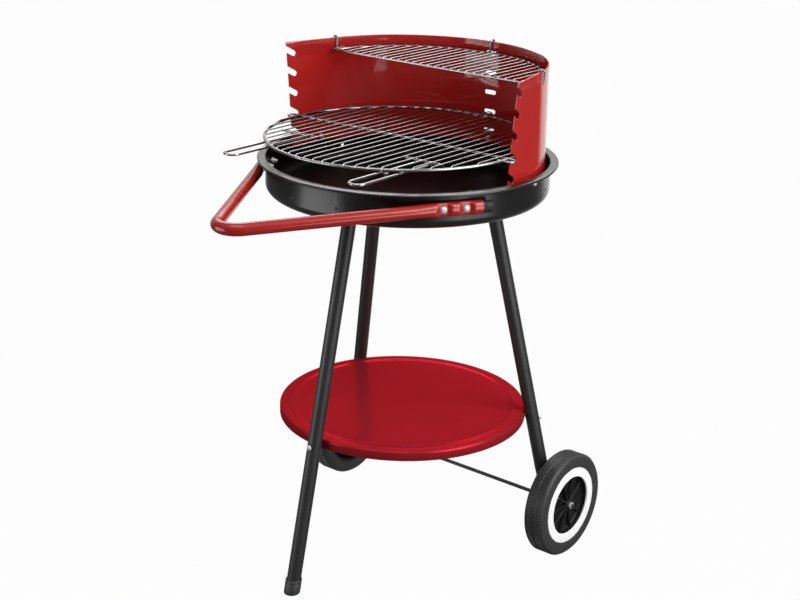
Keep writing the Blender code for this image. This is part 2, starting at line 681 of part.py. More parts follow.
def leg_rings(degrees, foot):
    """Rings of one leg tube from its lower end to the flat tab under the bowl."""
    radial = polar(1, degrees)
    side = Vector((-radial.y, radial.x, 0))
    up = Vector((0, 0, 1))
    half = LEG_TUBE / 2
    rings = []
    if foot:
        rings.append(section(radial * leg_radius(FOOT_SOLE + GAP) + up * (FOOT_SOLE + GAP),
                             radial, side, half, half))
    else:
        flat_x = LEG_FLAT_X * (1 if radial.x > 0 else -1)
        steps = ((AXLE_Z - 0.016, AXLE_FLAT / 2, AXLE_FLAT_WIDTH / 2, 3.4),
                 (AXLE_Z + 0.018, AXLE_FLAT / 2, AXLE_FLAT_WIDTH / 2, 3.4),
                 ((AXLE_Z + 0.018 + KNEE_Z) / 2, (AXLE_FLAT / 2 + half) / 2,
                  (AXLE_FLAT_WIDTH / 2 + half) / 2, 2.5))
        for z, thick, wide, power in steps:
            back = AXLE_BACK * (KNEE_Z - z) / KNEE_ABOVE_AXLE
            centre = Vector((flat_x, leg_radius(z) * radial.y + back, z))
            rings.append(section(centre, (1, 0, 0), (0, 1, 0), thick, wide, power, turn=radians(degrees)))
        rings.append(section(radial * leg_radius(KNEE_Z) + up * KNEE_Z, radial, side, half, half))

    tab_z = BOWL_BOTTOM - GAP - LEG_TAB / 2
    lean = LEG_LEAN / sqrt(1 + LEG_LEAN ** 2)
    turn = pi / 2 - asin(lean)
    tangent = LEG_BEND * tan(turn / 2)
    corner_r = leg_radius(tab_z)
    for k in range(6):
        share = k / 5
        swing = asin(lean) + turn * share
        centre_r = corner_r - tangent
        normal = radial * cos(swing) + up * sin(swing)
        centre = radial * (centre_r + LEG_BEND * cos(swing)) + up * (tab_z - LEG_BEND + LEG_BEND * sin(swing))
        flattening = sin(share * pi / 2)
        thick = half + (LEG_TAB / 2 - half) * flattening
        wide = half + (LEG_TAB_WIDTH / 2 - half) * flattening
        rings.append(section(centre, normal, side, thick, wide, 2.0 + 1.6 * flattening))
    rings.append(section(radial * LEG_TAB_END + up * tab_z, up, side, LEG_TAB / 2, LEG_TAB_WIDTH / 2, 3.6))
    return rings


def make_legs():
    shelf_z = SHELF_TOP - SHELF_SCREW_DROP
    tab_bottom = BOWL_BOTTOM - GAP - LEG_TAB
    for label, degrees in LEG_ANGLES.items():
        foot = label == "front"
        radial = polar(1, degrees)
        bm = bmesh.new()
        loft(bm, leg_rings(degrees, foot))
        leg = add_part(f"leg_{label}", bm, LEG_GREY)
        holes = bmesh.new()
        bar(holes, polar(LEG_BOLT_RADIUS, degrees, tab_bottom - 0.01),
            polar(LEG_BOLT_RADIUS, degrees, BOWL_BOTTOM + 0.01), BOLT_SHANK + GAP)
        bar(holes, polar(leg_radius(shelf_z) - 0.03, degrees, shelf_z),
            polar(leg_radius(shelf_z) + 0.03, degrees, shelf_z), SCREW_SHANK + GAP)
        if not foot:
            x = LEG_FLAT_X * (1 if radial.x > 0 else -1)
            bar(holes, (x - 0.02, AXLE_Y, AXLE_Z), (x + 0.02, AXLE_Y, AXLE_Z), AXLE_RADIUS + GAP)
        combine(leg, add_tool(f"leg_holes_{label}", holes), "DIFFERENCE")

        floor = BOWL_BOTTOM + BOWL_SHEET + GAP
        grip = floor - tab_bottom + GAP + BOLT_NUT_HEIGHT + 0.003
        add_bolt(f"leg_bolt_{label}", polar(LEG_BOLT_RADIUS, degrees, floor), (0, 0, 1), grip)
        add_nut(f"leg_nut_{label}", polar(LEG_BOLT_RADIUS, degrees, tab_bottom - GAP), (0, 0, -1))

        outer = leg_radius(shelf_z - SCREW_HEAD) + LEG_TUBE / 2 + GAP
        inner = SHELF_RADIUS - SHELF_SHEET - SCREW_NUT * tan(pi / SHELF_FACETS) - GAP
        add_bolt(f"shelf_screw_{label}", polar(outer, degrees, shelf_z), radial,
                 outer - inner + SCREW_NUT_HEIGHT + 0.002, small=True)
        add_nut(f"shelf_nut_{label}", polar(inner, degrees, shelf_z), -radial,
                (SCREW_NUT, SCREW_NUT_HEIGHT, SCREW_SHANK))


def make_foot():
    """Plastic cap on the front leg: a cup with a level sole."""
    radial = polar(1, LEG_ANGLES["front"])
    side = Vector((-radial.y, radial.x, 0))
    hole = LEG_TUBE / 2 + GAP
    outer = hole + FOOT_WALL
    rings = []
    steps = ((0, outer - 0.001), (0.0015, outer), (FOOT_HEIGHT - 0.001, outer),
             (FOOT_HEIGHT, outer - 0.001), (FOOT_HEIGHT, hole), (FOOT_SOLE, hole))
    for z, half in steps:
        rings.append(section(radial * leg_radius(z) + Vector((0, 0, z)), radial, side, half, half, count=16))
    bm = bmesh.new()
    loft(bm, rings)
    add_part("foot_cap", bm, BLACK_PLASTIC)


def make_shelf():
    edge = (SHELF_RADIUS - SHELF_ROUND, SHELF_TOP - SHELF_ROUND)
    bead = SHELF_RADIUS - SHELF_BEAD_INSET
    lower = SHELF_TOP - SHELF_SKIRT
    under = SHELF_TOP - SHELF_SHEET
    profile = [(0, SHELF_TOP), (0, under)]
    profile += [(bead - 0.005, under), (bead, under + SHELF_BEAD), (bead + 0.005, under)]
    profile += arc(edge, SHELF_ROUND - SHELF_SHEET, 90, 0, 2)
    profile += [(SHELF_RADIUS - SHELF_SHEET, lower), (SHELF_RADIUS, lower)]
    profile += arc(edge, SHELF_ROUND, 0, 90, 2)
    profile += [(bead + 0.005, SHELF_TOP), (bead, SHELF_TOP + SHELF_BEAD), (bead - 0.005, SHELF_TOP)]
    bm = bmesh.new()
    turned(bm, profile, SHELF_FACETS)
    shelf = add_part("shelf", bm, RED)
    holes = bmesh.new()
    z = SHELF_TOP - SHELF_SCREW_DROP
    for degrees in LEG_ANGLES.values():
        bar(holes, polar(SHELF_RADIUS - 0.01, degrees, z), polar(SHELF_RADIUS + 0.01, degrees, z),
            SCREW_SHANK + GAP)
    combine(shelf, add_tool("shelf_holes", holes), "DIFFERENCE")


def tyre_mesh():
    """Tyre turned about X, with two staggered rows of tread ribs and a line between them."""
    half = WHEEL_WIDTH / 2
    low = WHEEL_RADIUS - TREAD_DEPTH
    row = half - 0.0055
    profile = [(-half + 0.002, TYRE_INNER, 0), (-half, TYRE_INNER + 0.003, 0), (-half, WHEEL_RADIUS - 0.005, 0),
               (-half + 0.002, low - 0.0008, 0), (-row, low, 1), (-0.0016, low, 1), (-0.0007, low - 0.0006, 0),
               (0.0007, low - 0.0006, 0), (0.0016, low, 2), (row, low, 2), (half - 0.002, low - 0.0008, 0),
               (half, WHEEL_RADIUS - 0.005, 0), (half, TYRE_INNER + 0.003, 0), (half - 0.002, TYRE_INNER, 0)]
    bm = bmesh.new()
    rings = []
    for k in range(2 * TREAD_RIBS):
        angle = pi * k / TREAD_RIBS
        ring = []
        for x, r, row_number in profile:
            rib = row_number and (k + row_number) % 2 == 0
            radius = r + (TREAD_DEPTH if rib else 0)
            ring.append((x, radius * cos(angle), radius * sin(angle)))
        rings.append(ring)
    loft(bm, rings, closed=True)
    return bm


def along_x(bm):
    """Lay a mesh turned about Z along X."""
    for vert in bm.verts:
        x, y, z = vert.co
        vert.co = (z, x, y)


def hub_meshes(boss_inner):
    """Drum, dished web and bored boss in one turned piece, and its radial spokes."""
    drum = TYRE_INNER - GAP
    face = WHEEL_WIDTH / 2 - RING_THICK - GAP
    hole = AXLE_RADIUS + GAP
    web = (HUB_WEB - HUB_WEB_THICK, HUB_WEB)
    wall = RING_INNER + DRUM_WALL
    profile = [(hole, -boss_inner), (hole, HUB_FACE), (HUB_BOSS, HUB_FACE), (HUB_BOSS + 0.001, web[1])]
    profile += [(RING_INNER - 0.002, web[1]), (RING_INNER, web[1] + 0.003), (RING_INNER, face), (drum, face)]
    profile += [(drum, -face), (drum - DRUM_WALL, -face), (drum - DRUM_WALL, face - DRUM_WALL)]
    profile += [(wall, face - DRUM_WALL), (wall, web[0]), (HUB_BOSS + 0.001, web[0]), (HUB_BOSS, -boss_inner)]
    hub = bmesh.new()
    turned(hub, profile, 24)
    along_x(hub)
    spokes = bmesh.new()
    for k in range(SPOKES):
        angle = 2 * pi * (k + 0.5) / SPOKES
        out = Vector((0, cos(angle), sin(angle)))
        side = Vector((0, -sin(angle), cos(angle)))
        rings = []
        for r, top, width in ((HUB_BOSS - 0.0012, HUB_FACE - 0.0015, 0.0014),
                              (RING_INNER + 0.0008, web[1] + 0.0052, 0.0011)):
            low = web[1] - 0.0012
            rings.append([out * r + side * w + Vector((x, 0, 0))
                          for x, w in ((low, -width), (top, -width * 0.7), (top, width * 0.7), (low, width))])
        loft(spokes, rings)
    return hub, spokes


def make_wheels():
    boss_inner = WHEEL_X - LEG_FLAT_X - AXLE_FLAT / 2 - GAP
    end = WHEEL_X + HUB_FACE + GAP + AXLE_NUT_HEIGHT + 0.0025
    rod = bmesh.new()
    bar(rod, (-end, 0, 0), (end, 0, 0), AXLE_RADIUS)
    add_part("axle", rod, BLACK_PLASTIC, (0, AXLE_Y, AXLE_Z))

    for side, label in ((1, "right"), (-1, "left")):
        place = (side * WHEEL_X, AXLE_Y, AXLE_Z)
        turn = 0 if side > 0 else pi
        tyre = add_part(f"tyre_{label}", tyre_mesh(), TYRE_GREY, place)
        hub_bm, spoke_bm = hub_meshes(boss_inner)
        hub = add_part(f"wheel_hub_{label}", hub_bm, BLACK_PLASTIC, place)
        spokes = add_tool(f"wheel_spokes_{label}", spoke_bm, place)
        combine(hub, spokes, "UNION")
        ring_bm = bmesh.new()
        outer = TYRE_INNER - GAP
        face = WHEEL_WIDTH / 2
        back = face - RING_THICK
        turned(ring_bm, [(RING_INNER, back), (RING_INNER, face - 0.0012), (RING_INNER + 0.0015, face),
                         (outer - 0.0015, face), (outer, face - 0.0012), (outer, back)], 24)
        along_x(ring_bm)
        ring = add_part(f"wheel_ring_{label}", ring_bm, WHITE_PLASTIC, place)
        for obj in (tyre, hub, spokes, ring):
            obj.rotation_euler = (0, 0, turn)
        add_nut(f"axle_nut_{label}", (side * (WHEEL_X + HUB_FACE + GAP), AXLE_Y, AXLE_Z), (side, 0, 0),
                (AXLE_NUT, AXLE_NUT_HEIGHT, AXLE_RADIUS))


def main():
    clear_scene()
    axis = bpy.data.objects.new("grill_axis", None)
    bpy.context.scene.collection.objects.link(axis)
    axis.location = (0, BOWL_Y, 0)
    make_bowl()
    make_shield()
    make_grid()
    make_grips()
    make_rack()
    make_handle()
    make_legs()
    make_foot()
    make_shelf()
    make_wheels()


main()
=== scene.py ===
# %% [markdown]
# A round charcoal grill on a trolley. The imported solids give every piece its place, and this
# lesson dresses them: each piece is modelled again with finer forms, rides the same body, and
# gets a finish of its own. First the solids are loaded.

# %% Load the solids
from math import asin, atan, cos, pi, radians, sin, sqrt, tan

import bpy
from mathutils import Matrix, Vector


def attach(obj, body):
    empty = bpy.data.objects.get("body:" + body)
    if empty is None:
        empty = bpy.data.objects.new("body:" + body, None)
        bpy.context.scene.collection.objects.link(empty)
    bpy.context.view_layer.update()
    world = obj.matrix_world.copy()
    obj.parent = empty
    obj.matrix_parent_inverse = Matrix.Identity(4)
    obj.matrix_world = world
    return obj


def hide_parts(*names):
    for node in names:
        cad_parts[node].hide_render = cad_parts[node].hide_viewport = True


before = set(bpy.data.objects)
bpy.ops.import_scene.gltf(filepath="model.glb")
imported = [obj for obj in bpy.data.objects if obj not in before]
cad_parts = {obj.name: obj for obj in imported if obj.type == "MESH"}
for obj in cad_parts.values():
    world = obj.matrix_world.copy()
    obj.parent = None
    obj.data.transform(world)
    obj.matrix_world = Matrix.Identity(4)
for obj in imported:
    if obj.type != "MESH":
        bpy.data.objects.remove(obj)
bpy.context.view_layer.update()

scene = bpy.context.scene

# %% [markdown]
# Everything on the grill is measured from the bowl's upright axis, which stands a little behind
# the middle of the whole object, because the pull handle reaches out in front. All pieces are
# modelled about that axis and pushed back by this amount when they are finished. Neighbouring
# pieces keep a small gap, so that none of them cuts into another.

# %% The bowl's axis
BOWL_Y = 0.086
GAP = 0.0003
UP = Vector((0, 0, 1))
SIDES = ((1, "right"), (-1, "left"))
LEGS = (("front", -90), ("rear_right", 30), ("rear_left", 150))
DISC_RINGS = (0.05, 0.10, 0.15)


def polar(radius, degrees, z=0.0):
    return Vector((radius * cos(radians(degrees)), radius * sin(radians(degrees)), z))


def arc(centre, radius, first, last, steps):
    """Points on a flat arc, with its ends given in degrees."""
    turns = [radians(first + (last - first) * k / steps) for k in range(steps + 1)]
    return [(centre[0] + radius * cos(t), centre[1] + radius * sin(t)) for t in turns]


print("axis at", BOWL_Y)

# %% [markdown]
# The camera stands where the photographer stood: to the right of the front, looking a little
# down, with a long lens. Its place was worked out from the ellipses of the rim and the shelf
# and from the points where the legs and the wheel meet the floor.

# %% Camera
TURN, PITCH, ROLL = radians(39.21), radians(19.457), radians(1.189)
CAMERA_X, CAMERA_Y, CAMERA_Z = 1.46187, -1.80361, 1.23127
FOCAL_PIXELS, PICTURE_PIXELS, SENSOR = 1559.36, 800, 36
level = Vector((-sin(TURN), cos(TURN), 0))
right = Vector((cos(TURN), sin(TURN), 0))
ahead = level * cos(PITCH) - Vector((0, 0, sin(PITCH)))
upward = right.cross(ahead)
across = right * cos(ROLL) + upward * sin(ROLL)
upward = upward * cos(ROLL) - right * sin(ROLL)
bpy.ops.object.camera_add()
camera = bpy.context.object
camera.matrix_world = Matrix((across, upward, -ahead)).transposed().to_4x4()
camera.location = (CAMERA_X, CAMERA_Y + BOWL_Y, CAMERA_Z)
camera.data.sensor_width = SENSOR
camera.data.lens = FOCAL_PIXELS / PICTURE_PIXELS * SENSOR
scene.camera = camera
scene.view_settings.view_transform = "Standard"
print("camera lens", round(camera.data.lens, 1), "mm")

# %% [markdown]
# Finishes are built from shader nodes. Writing each node by hand is long, so one small class
# wraps a socket: ordinary arithmetic on it adds Math nodes, and its node method adds any other
# node with its settings and inputs. A finish starts from the surface's own coordinates.

# %% Shader arithmetic


class Value:
    def __init__(self, tree, socket):
        self.tree, self.socket = tree, socket

    def node(self, kind, settings=None, inputs=None, output=0):
        made = self.tree.nodes.new("ShaderNode" + kind)
        for name, setting in (settings or {}).items():
            setattr(made, name, setting)
        for name, value in (inputs or {}).items():
            if isinstance(value, Value):
                self.tree.links.new(value.socket, made.inputs[name])
            else:
                made.inputs[name].default_value = value
        return Value(self.tree, made.outputs[output])

    def maths(self, operation, first, second):
        return self.node("Math", {"operation": operation}, {0: first, 1: second})

    def __add__(self, other):
        return self.maths("ADD", self, other)

    def __sub__(self, other):
        return self.maths("SUBTRACT", self, other)

    def __rsub__(self, other):
        return self.maths("SUBTRACT", other, self)

    def __mul__(self, other):
        return self.maths("MULTIPLY", self, other)

    __radd__, __rmul__ = __add__, __mul__

    def along(self, direction):
        """How far a vector reaches in a direction."""
        return self.node("VectorMath", {"operation": "DOT_PRODUCT"}, {0: self, 1: direction}, 1)

    def noise(self, scale, detail=2.0, rough=0.5):
        inputs = {"Vector": self, "Scale": scale, "Detail": detail, "Roughness": rough}
        return self.node("TexNoise", None, inputs)

    def spread(self, low, high, start=0.3, end=0.7):
        inputs = {"Value": self, 1: start, 2: end, 3: low, 4: high}
        return self.node("MapRange", None, inputs)

    def tint(self, dark, light):
        shade = self.node("ValToRGB", None, {0: self})
        stops = shade.socket.node.color_ramp.elements
        for stop, place, colour in zip(stops, (0.3, 0.7), (dark, light)):
            stop.position, stop.color = place, (*colour, 1)
        return shade

    def bump(self, strength, distance):
        inputs = {"Strength": strength, "Distance": distance, "Height": self}
        return self.node("Bump", None, inputs)


def coordinates(tree, kind):
    return Value(tree, tree.nodes.new("ShaderNodeTexCoord").outputs[kind])


def finish(name, make, **fixed):
    """A Principled material; make(place) returns the sockets that vary over the surface."""
    material = bpy.data.materials.new(name)
    material.use_nodes = True
    tree = material.node_tree
    shader = tree.nodes["Principled BSDF"]
    for socket, value in fixed.items():
        shader.inputs[socket.replace("_", " ")].default_value = value
    for socket, value in make(coordinates(tree, "Object")).items():
        tree.links.new(value.socket, shader.inputs[socket])
    return material


print("shader arithmetic ready")

# %% [markdown]
# Ten finishes cover the grill. Sprayed paint and enamel are never quite flat: the light in
# them ripples with a faint orange peel, and the gloss changes a little from place to place.
# Each of them is a slow noise on colour and gloss with a fine bump. Powder coat on the legs is
# grainier, plated wire has a soft streaky polish, and moulded plastic a fine spark texture.
# The tenth, the bowl's enamel, is made with the bowl.

# %% Sprayed paint


def sprayed(dark, light, gloss, peel, wave=0.0):
    """Two tones, the range of roughness, the depth of the orange peel and a longer ripple."""
    def make(place):
        ripple = place.noise(420.0, 1.0) + place.noise(16.0, 1.0) * wave
        return {"Base Color": place.noise(9.0, 3.0).tint(dark, light),
                "Roughness": place.noise(34.0, 4.0).spread(*gloss),
                "Normal": ripple.bump(peel, 0.0004)}
    return make


RED_PAINT = finish(
    "red_paint",
    sprayed((0.345, 0.0115, 0.0100), (0.365, 0.0130, 0.0115), (0.05, 0.08), 0.03, 9.0),
    Coat_Weight=0.20, Coat_Roughness=0.05)
RED_SHELF = finish(
    "red_shelf_paint",
    sprayed((0.325, 0.0170, 0.0260), (0.340, 0.0180, 0.0275), (0.17, 0.22), 0.03),
    Metallic=0.42, Specular_IOR_Level=0.0, Specular_Tint=(1.0, 0.06, 0.06, 1.0))
RED_HANDLE = finish(
    "red_handle_paint",
    sprayed((0.305, 0.0105, 0.0092), (0.325, 0.0118, 0.0104), (0.17, 0.21), 0.004))
print("painted finishes:", RED_PAINT.name, RED_SHELF.name, RED_HANDLE.name)

# %% Powder coat, plating and plastic


def grained(dark, light, gloss, scale, depth):
    """Two tones, the range of roughness, and the fineness and depth of the grain."""
    def make(place):
        grain = place.noise(scale, 3.0, 0.6)
        return {"Base Color": (place.noise(14.0, 3.0) * 0.6 + grain * 0.4).tint(dark, light),
                "Roughness": place.noise(60.0, 4.0).spread(*gloss),
                "Normal": grain.bump(depth, 0.0003)}
    return make


def plated(dark, light, gloss):
    """Two tones and the range of roughness."""
    def make(place):
        streak = place.noise(70.0, 5.0, 0.65)
        return {"Base Color": streak.tint(dark, light),
                "Roughness": place.noise(180.0, 3.0).spread(*gloss),
                "Normal": streak.bump(0.04, 0.0002)}
    return make


LEG_COAT = finish(
    "leg_powder_coat",
    grained((0.013, 0.0132, 0.0142), (0.018, 0.0182, 0.0194), (0.40, 0.48), 900.0, 0.10))
CHROME = finish(
    "chrome_wire",
    plated((0.31, 0.302, 0.298), (0.43, 0.422, 0.415), (0.14, 0.24)),
    Metallic=1.0)
ZINC = finish(
    "zinc_plate",
    plated((0.62, 0.61, 0.60), (0.76, 0.75, 0.74), (0.34, 0.46)),
    Metallic=0.55)
TREAD = finish(
    "wheel_plastic",
    grained((0.022, 0.022, 0.0233), (0.030, 0.030, 0.0316), (0.46, 0.56), 700.0, 0.12))
BLACK_PLASTIC = finish(
    "black_plastic",
    grained((0.0045, 0.0045, 0.0048), (0.0070, 0.0070, 0.0073), (0.46, 0.56), 800.0, 0.08),
    Specular_IOR_Level=0.35)
WHITE_PLASTIC = finish(
    "white_plastic",
    grained((0.84, 0.84, 0.85), (0.90, 0.90, 0.91), (0.34, 0.42), 600.0, 0.05))
print("finishes made:", len(bpy.data.materials))

# %% [markdown]
# Most pieces come from four moves. A turned piece is an outline drawn by extruding one vertex
# and spun round an axis. A lofted piece is a grid wrapped round a run of outlines, for bent and
# flattened tube. A wire is a curve with a round bevel, made a mesh. A hole is a Boolean that is
# applied. The last helper sets a piece behind the axis, smooths it, paints it and lets it ride.

# %% Modelling moves


def deselect():
    if bpy.context.object and bpy.context.object.mode != "OBJECT":
        bpy.ops.object.mode_set(mode="OBJECT")
    bpy.ops.object.select_all(action="DESELECT")


def work_on(piece):
    deselect()
    piece.select_set(True)
    bpy.context.view_layer.objects.active = piece


def tidy(piece, cap=False):
    """Merge the seam, close open ends if asked, and point the faces outwards."""
    work_on(piece)
    bpy.ops.object.mode_set(mode="EDIT")
    bpy.ops.mesh.select_all(action="SELECT")
    bpy.ops.mesh.remove_doubles(threshold=1e-6)
    if cap:
        bpy.ops.mesh.fill_holes(sides=0)
    bpy.ops.mesh.select_all(action="SELECT")
    bpy.ops.mesh.normals_make_consistent(inside=False)
    bpy.ops.object.mode_set(mode="OBJECT")
    return piece


def turned(profile, steps):
    """Spin a (radius, height) outline about Z."""
    deselect()
    bpy.ops.mesh.primitive_plane_add(size=0.001)
    piece = bpy.context.object
    bpy.ops.object.mode_set(mode="EDIT")
    bpy.ops.mesh.select_all(action="SELECT")
    bpy.ops.mesh.merge(type="CENTER")
    bpy.ops.transform.translate(value=(profile[0][0], 0, profile[0][1]))
    for (r0, z0), (r1, z1) in zip(profile, profile[1:]):
        bpy.ops.mesh.extrude_vertices_move(TRANSFORM_OT_translate={"value": (r1 - r0, 0, z1 - z0)})
    bpy.ops.mesh.select_all(action="SELECT")
    bpy.ops.mesh.spin(steps=steps, angle=2 * pi, center=(0, 0, 0), axis=(0, 0, 1))
    return tidy(piece)


def lofted(rings, path_closed=False):
    """Wrap a grid round a run of closed outlines."""
    around, rows = len(rings[0]), len(rings)
    lines = rows if path_closed else rows - 1
    deselect()
    bpy.ops.mesh.primitive_grid_add(x_subdivisions=around, y_subdivisions=lines, size=2)
    piece = bpy.context.object
    for vert in piece.data.vertices:
        i = round((vert.co.x + 1) / 2 * around) % around
        j = round((vert.co.y + 1) / 2 * lines) % rows
        vert.co = rings[j][i]
    return tidy(piece, cap=not path_closed)


def wire(points, radius, closed=False, fineness=3):
    """A round wire along a path."""
    deselect()
    bpy.ops.curve.primitive_bezier_curve_add()
    rod = bpy.context.object
    rod.data.splines.clear()
    spline = rod.data.splines.new("POLY")
    spline.points.add(len(points) - 1)
    for point, place in zip(spline.points, points):
        point.co = (*place, 1)
    spline.use_cyclic_u = closed
    rod.data.dimensions = "3D"
    rod.data.bevel_depth = radius
    rod.data.bevel_resolution = fineness
    rod.data.use_fill_caps = True
    bpy.ops.object.convert(target="MESH")
    return tidy(bpy.context.object)


def joined(pieces):
    work_on(pieces[0])
    for piece in pieces[1:]:
        piece.select_set(True)
    bpy.ops.object.join()
    return bpy.context.object


def cut(piece, tools):
    """Take the tools away from a piece."""
    tool = joined(tools)
    work_on(piece)
    modifier = piece.modifiers.new("cut", "BOOLEAN")
    modifier.object, modifier.solver = tool, "EXACT"
    bpy.ops.object.modifier_apply(modifier="cut")
    bpy.data.objects.remove(tool)
    return piece


def soften(piece, width):
    """Round every sharp edge of a piece."""
    work_on(piece)
    modifier = piece.modifiers.new("soften", "BEVEL")
    modifier.width, modifier.segments, modifier.limit_method = width, 2, "ANGLE"
    modifier.angle_limit = radians(40)
    bpy.ops.object.modifier_apply(modifier="soften")


def aimed(piece, place, direction):
    """Stand a piece that was made along Z on a place, pointing in a direction."""
    turn = UP.rotation_difference(Vector(direction)).to_matrix().to_4x4()
    piece.matrix_world = Matrix.Translation(place) @ turn
    return piece


def done(name, piece, body, slot, paint, *nodes, angle=35):
    """Set the piece in its place, smooth it, paint it and let it ride for its solids."""
    piece.location.y += BOWL_Y
    work_on(piece)
    bpy.ops.object.transform_apply(location=True, rotation=True, scale=True)
    bpy.ops.object.shade_smooth_by_angle(angle=radians(angle))
    piece.name = piece.data.name = name
    piece.data.materials.clear()
    piece.data.materials.append(paint)
    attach(piece, body)
    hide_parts(*nodes)
    print(name, len(piece.data.polygons), "faces")


print("moves ready")

# %% [markdown]
# The bowl is one deep-drawn pressing: a flat floor, a rounded corner, a straight wall and a
# flange that falls a little outwards, with its edge rolled under. The outline is the whole
# story, so it is drawn once and spun. Small air holes are cut through the wall afterwards.

# %% Fire bowl
RIM, RIM_Z, WALL, SHEET, CORNER = 0.230, 0.6467, 0.2175, 0.0012, 0.014
FLANGE_BEND, FLANGE_DROP, ROLL_R = 0.003, 0.0009, 0.0020
VENT_R, VENT_DROP = 0.0028, 0.032
FLOOR_Z = RIM_Z - 0.0552
INSIDE = WALL - SHEET
bend = (WALL - CORNER, FLOOR_Z + CORNER)


def enamelled(place):
    """Black enamel: glossy on the outer face of the pressing, without its coat inside."""
    flat = place.node("VectorMath", {"operation": "MULTIPLY"}, {0: place, 1: (1, 1, 0)})
    axis = {0: flat, 1: (0, BOWL_Y, 0)}
    radius = flat.node("VectorMath", {"operation": "DISTANCE"}, axis, 1)
    height = place.node("SeparateXYZ", None, {0: place}, 2)
    out = place.maths("MAXIMUM", radius - bend[0], 0.0)
    down = place.maths("MAXIMUM", bend[1] - height, 0.0)
    skin = out * out + down * down
    inner, outer = ((CORNER - share * SHEET) ** 2 for share in (0.75, 0.25))
    tones = (0.0022, 0.0019, 0.0018), (0.0034, 0.0030, 0.0028)
    sockets = sprayed(*tones, (0.34, 0.40), 0.03)(place)
    sockets["Coat Weight"] = skin.spread(0.0, 0.85, inner, outer)
    return sockets


ENAMEL = finish("black_enamel", enamelled, Specular_IOR_Level=0.12, Coat_Roughness=0.24)
outline = [(r, FLOOR_Z) for r in (0, *DISC_RINGS)]
outline += arc(bend, CORNER, -90, 0, 10)
outline += arc((WALL + FLANGE_BEND, RIM_Z - SHEET - FLANGE_BEND), FLANGE_BEND, 180, 90, 5)
outline += arc((RIM - ROLL_R, RIM_Z - ROLL_R - FLANGE_DROP), ROLL_R, -90, 84, 10)
outline += arc((INSIDE + FLANGE_BEND, RIM_Z - FLANGE_BEND), FLANGE_BEND, 90, 180, 5)
outline += arc(bend, CORNER - SHEET, 0, -90, 10)
outline += [(r, FLOOR_Z + SHEET) for r in (*reversed(DISC_RINGS), 0)]
bowl = turned(outline, 160)
vents = []
for degrees in (21, 159, 258.4, 281.6):
    ends = [polar(WALL + past, degrees, RIM_Z - VENT_DROP) for past in (-0.01, 0.01)]
    vents.append(wire(ends, VENT_R, fineness=6))
done("bowl_pressing", cut(bowl, vents), "frame", "bowl_enamel", ENAMEL, "fire_bowl")

# %% [markdown]
# The wind shield is a thin sheet bent round the back half of the bowl. Its free front ends
# spring out towards the top, the top edge is folded inwards to a flat hem, and each front edge
# has five slanted notches that carry the cooking grid. A row of short slots at the rear takes
# the grid's tongue. The sheet is lofted from upright sections, then the notches are cut.

# %% Shield sheet
SHIELD_TOP, SHIELD_TALL, SHIELD_FRONT, THIN = 0.795, 0.166, 0.034, 0.0010
SHIELD_R, TAPER, FLARE, MORE_FLARE = 0.2095, 0.0015, 3, 12
HEM, HEM_OUT, HEM_IN, HEM_FLAT, HEM_BLEND = 0.013, 0.0003, 0.0009, 0.006, 0.0022
ARC_STEPS, END_STEPS, TALL_STEPS = 84, 8, 14
SHIELD_LOW = SHIELD_TOP - SHIELD_TALL


def shield_shape(z):
    """The sheet's outer radius at a height, and how far its ends have sprung out."""
    share = (z - SHIELD_LOW) / SHIELD_TALL
    return SHIELD_R - TAPER * share, radians(FLARE + MORE_FLARE * share)


def shield_point(step, offset, z):
    """A point of the sheet: step counts from the right front edge round to the left one."""
    radius, flare = shield_shape(z)
    share = min(max((step - END_STEPS) / ARC_STEPS, 0), 1)
    turn = flare + (pi - 2 * flare) * share
    point = Vector((cos(turn), sin(turn), 0)) * (radius + offset)
    past = max(END_STEPS - step, step - END_STEPS - ARC_STEPS, 0) / END_STEPS
    if past > 0:
        side = 1 if step < END_STEPS else -1
        run = Vector((abs(sin(turn)) * side, -abs(cos(turn)), 0))
        point += run * ((point.y + SHIELD_FRONT) / abs(run.y) * past)
    return point + Vector((0, 0, z))


rise = SHIELD_TALL - HEM - HEM_BLEND
heights = [SHIELD_LOW + rise * i / TALL_STEPS for i in range(TALL_STEPS + 1)]
fold = (HEM_OUT + THIN + HEM_IN) / 2
middle = (HEM_OUT - THIN - HEM_IN) / 2
section = [(-THIN, z) for z in heights]
section += [(-THIN - HEM_IN, SHIELD_TOP - HEM), (-THIN - HEM_IN, SHIELD_TOP - HEM_FLAT)]
section += arc((middle, SHIELD_TOP - fold), fold, 180, 0, 8)
section += [(HEM_OUT, SHIELD_TOP - HEM_FLAT), (HEM_OUT, SHIELD_TOP - HEM)]
section += [(0, z) for z in reversed(heights)]
shield = lofted([[shield_point(k, offset, z) for offset, z in section]
                 for k in range(ARC_STEPS + 2 * END_STEPS + 1)])
print("shield sheet", len(shield.data.polygons), "faces")

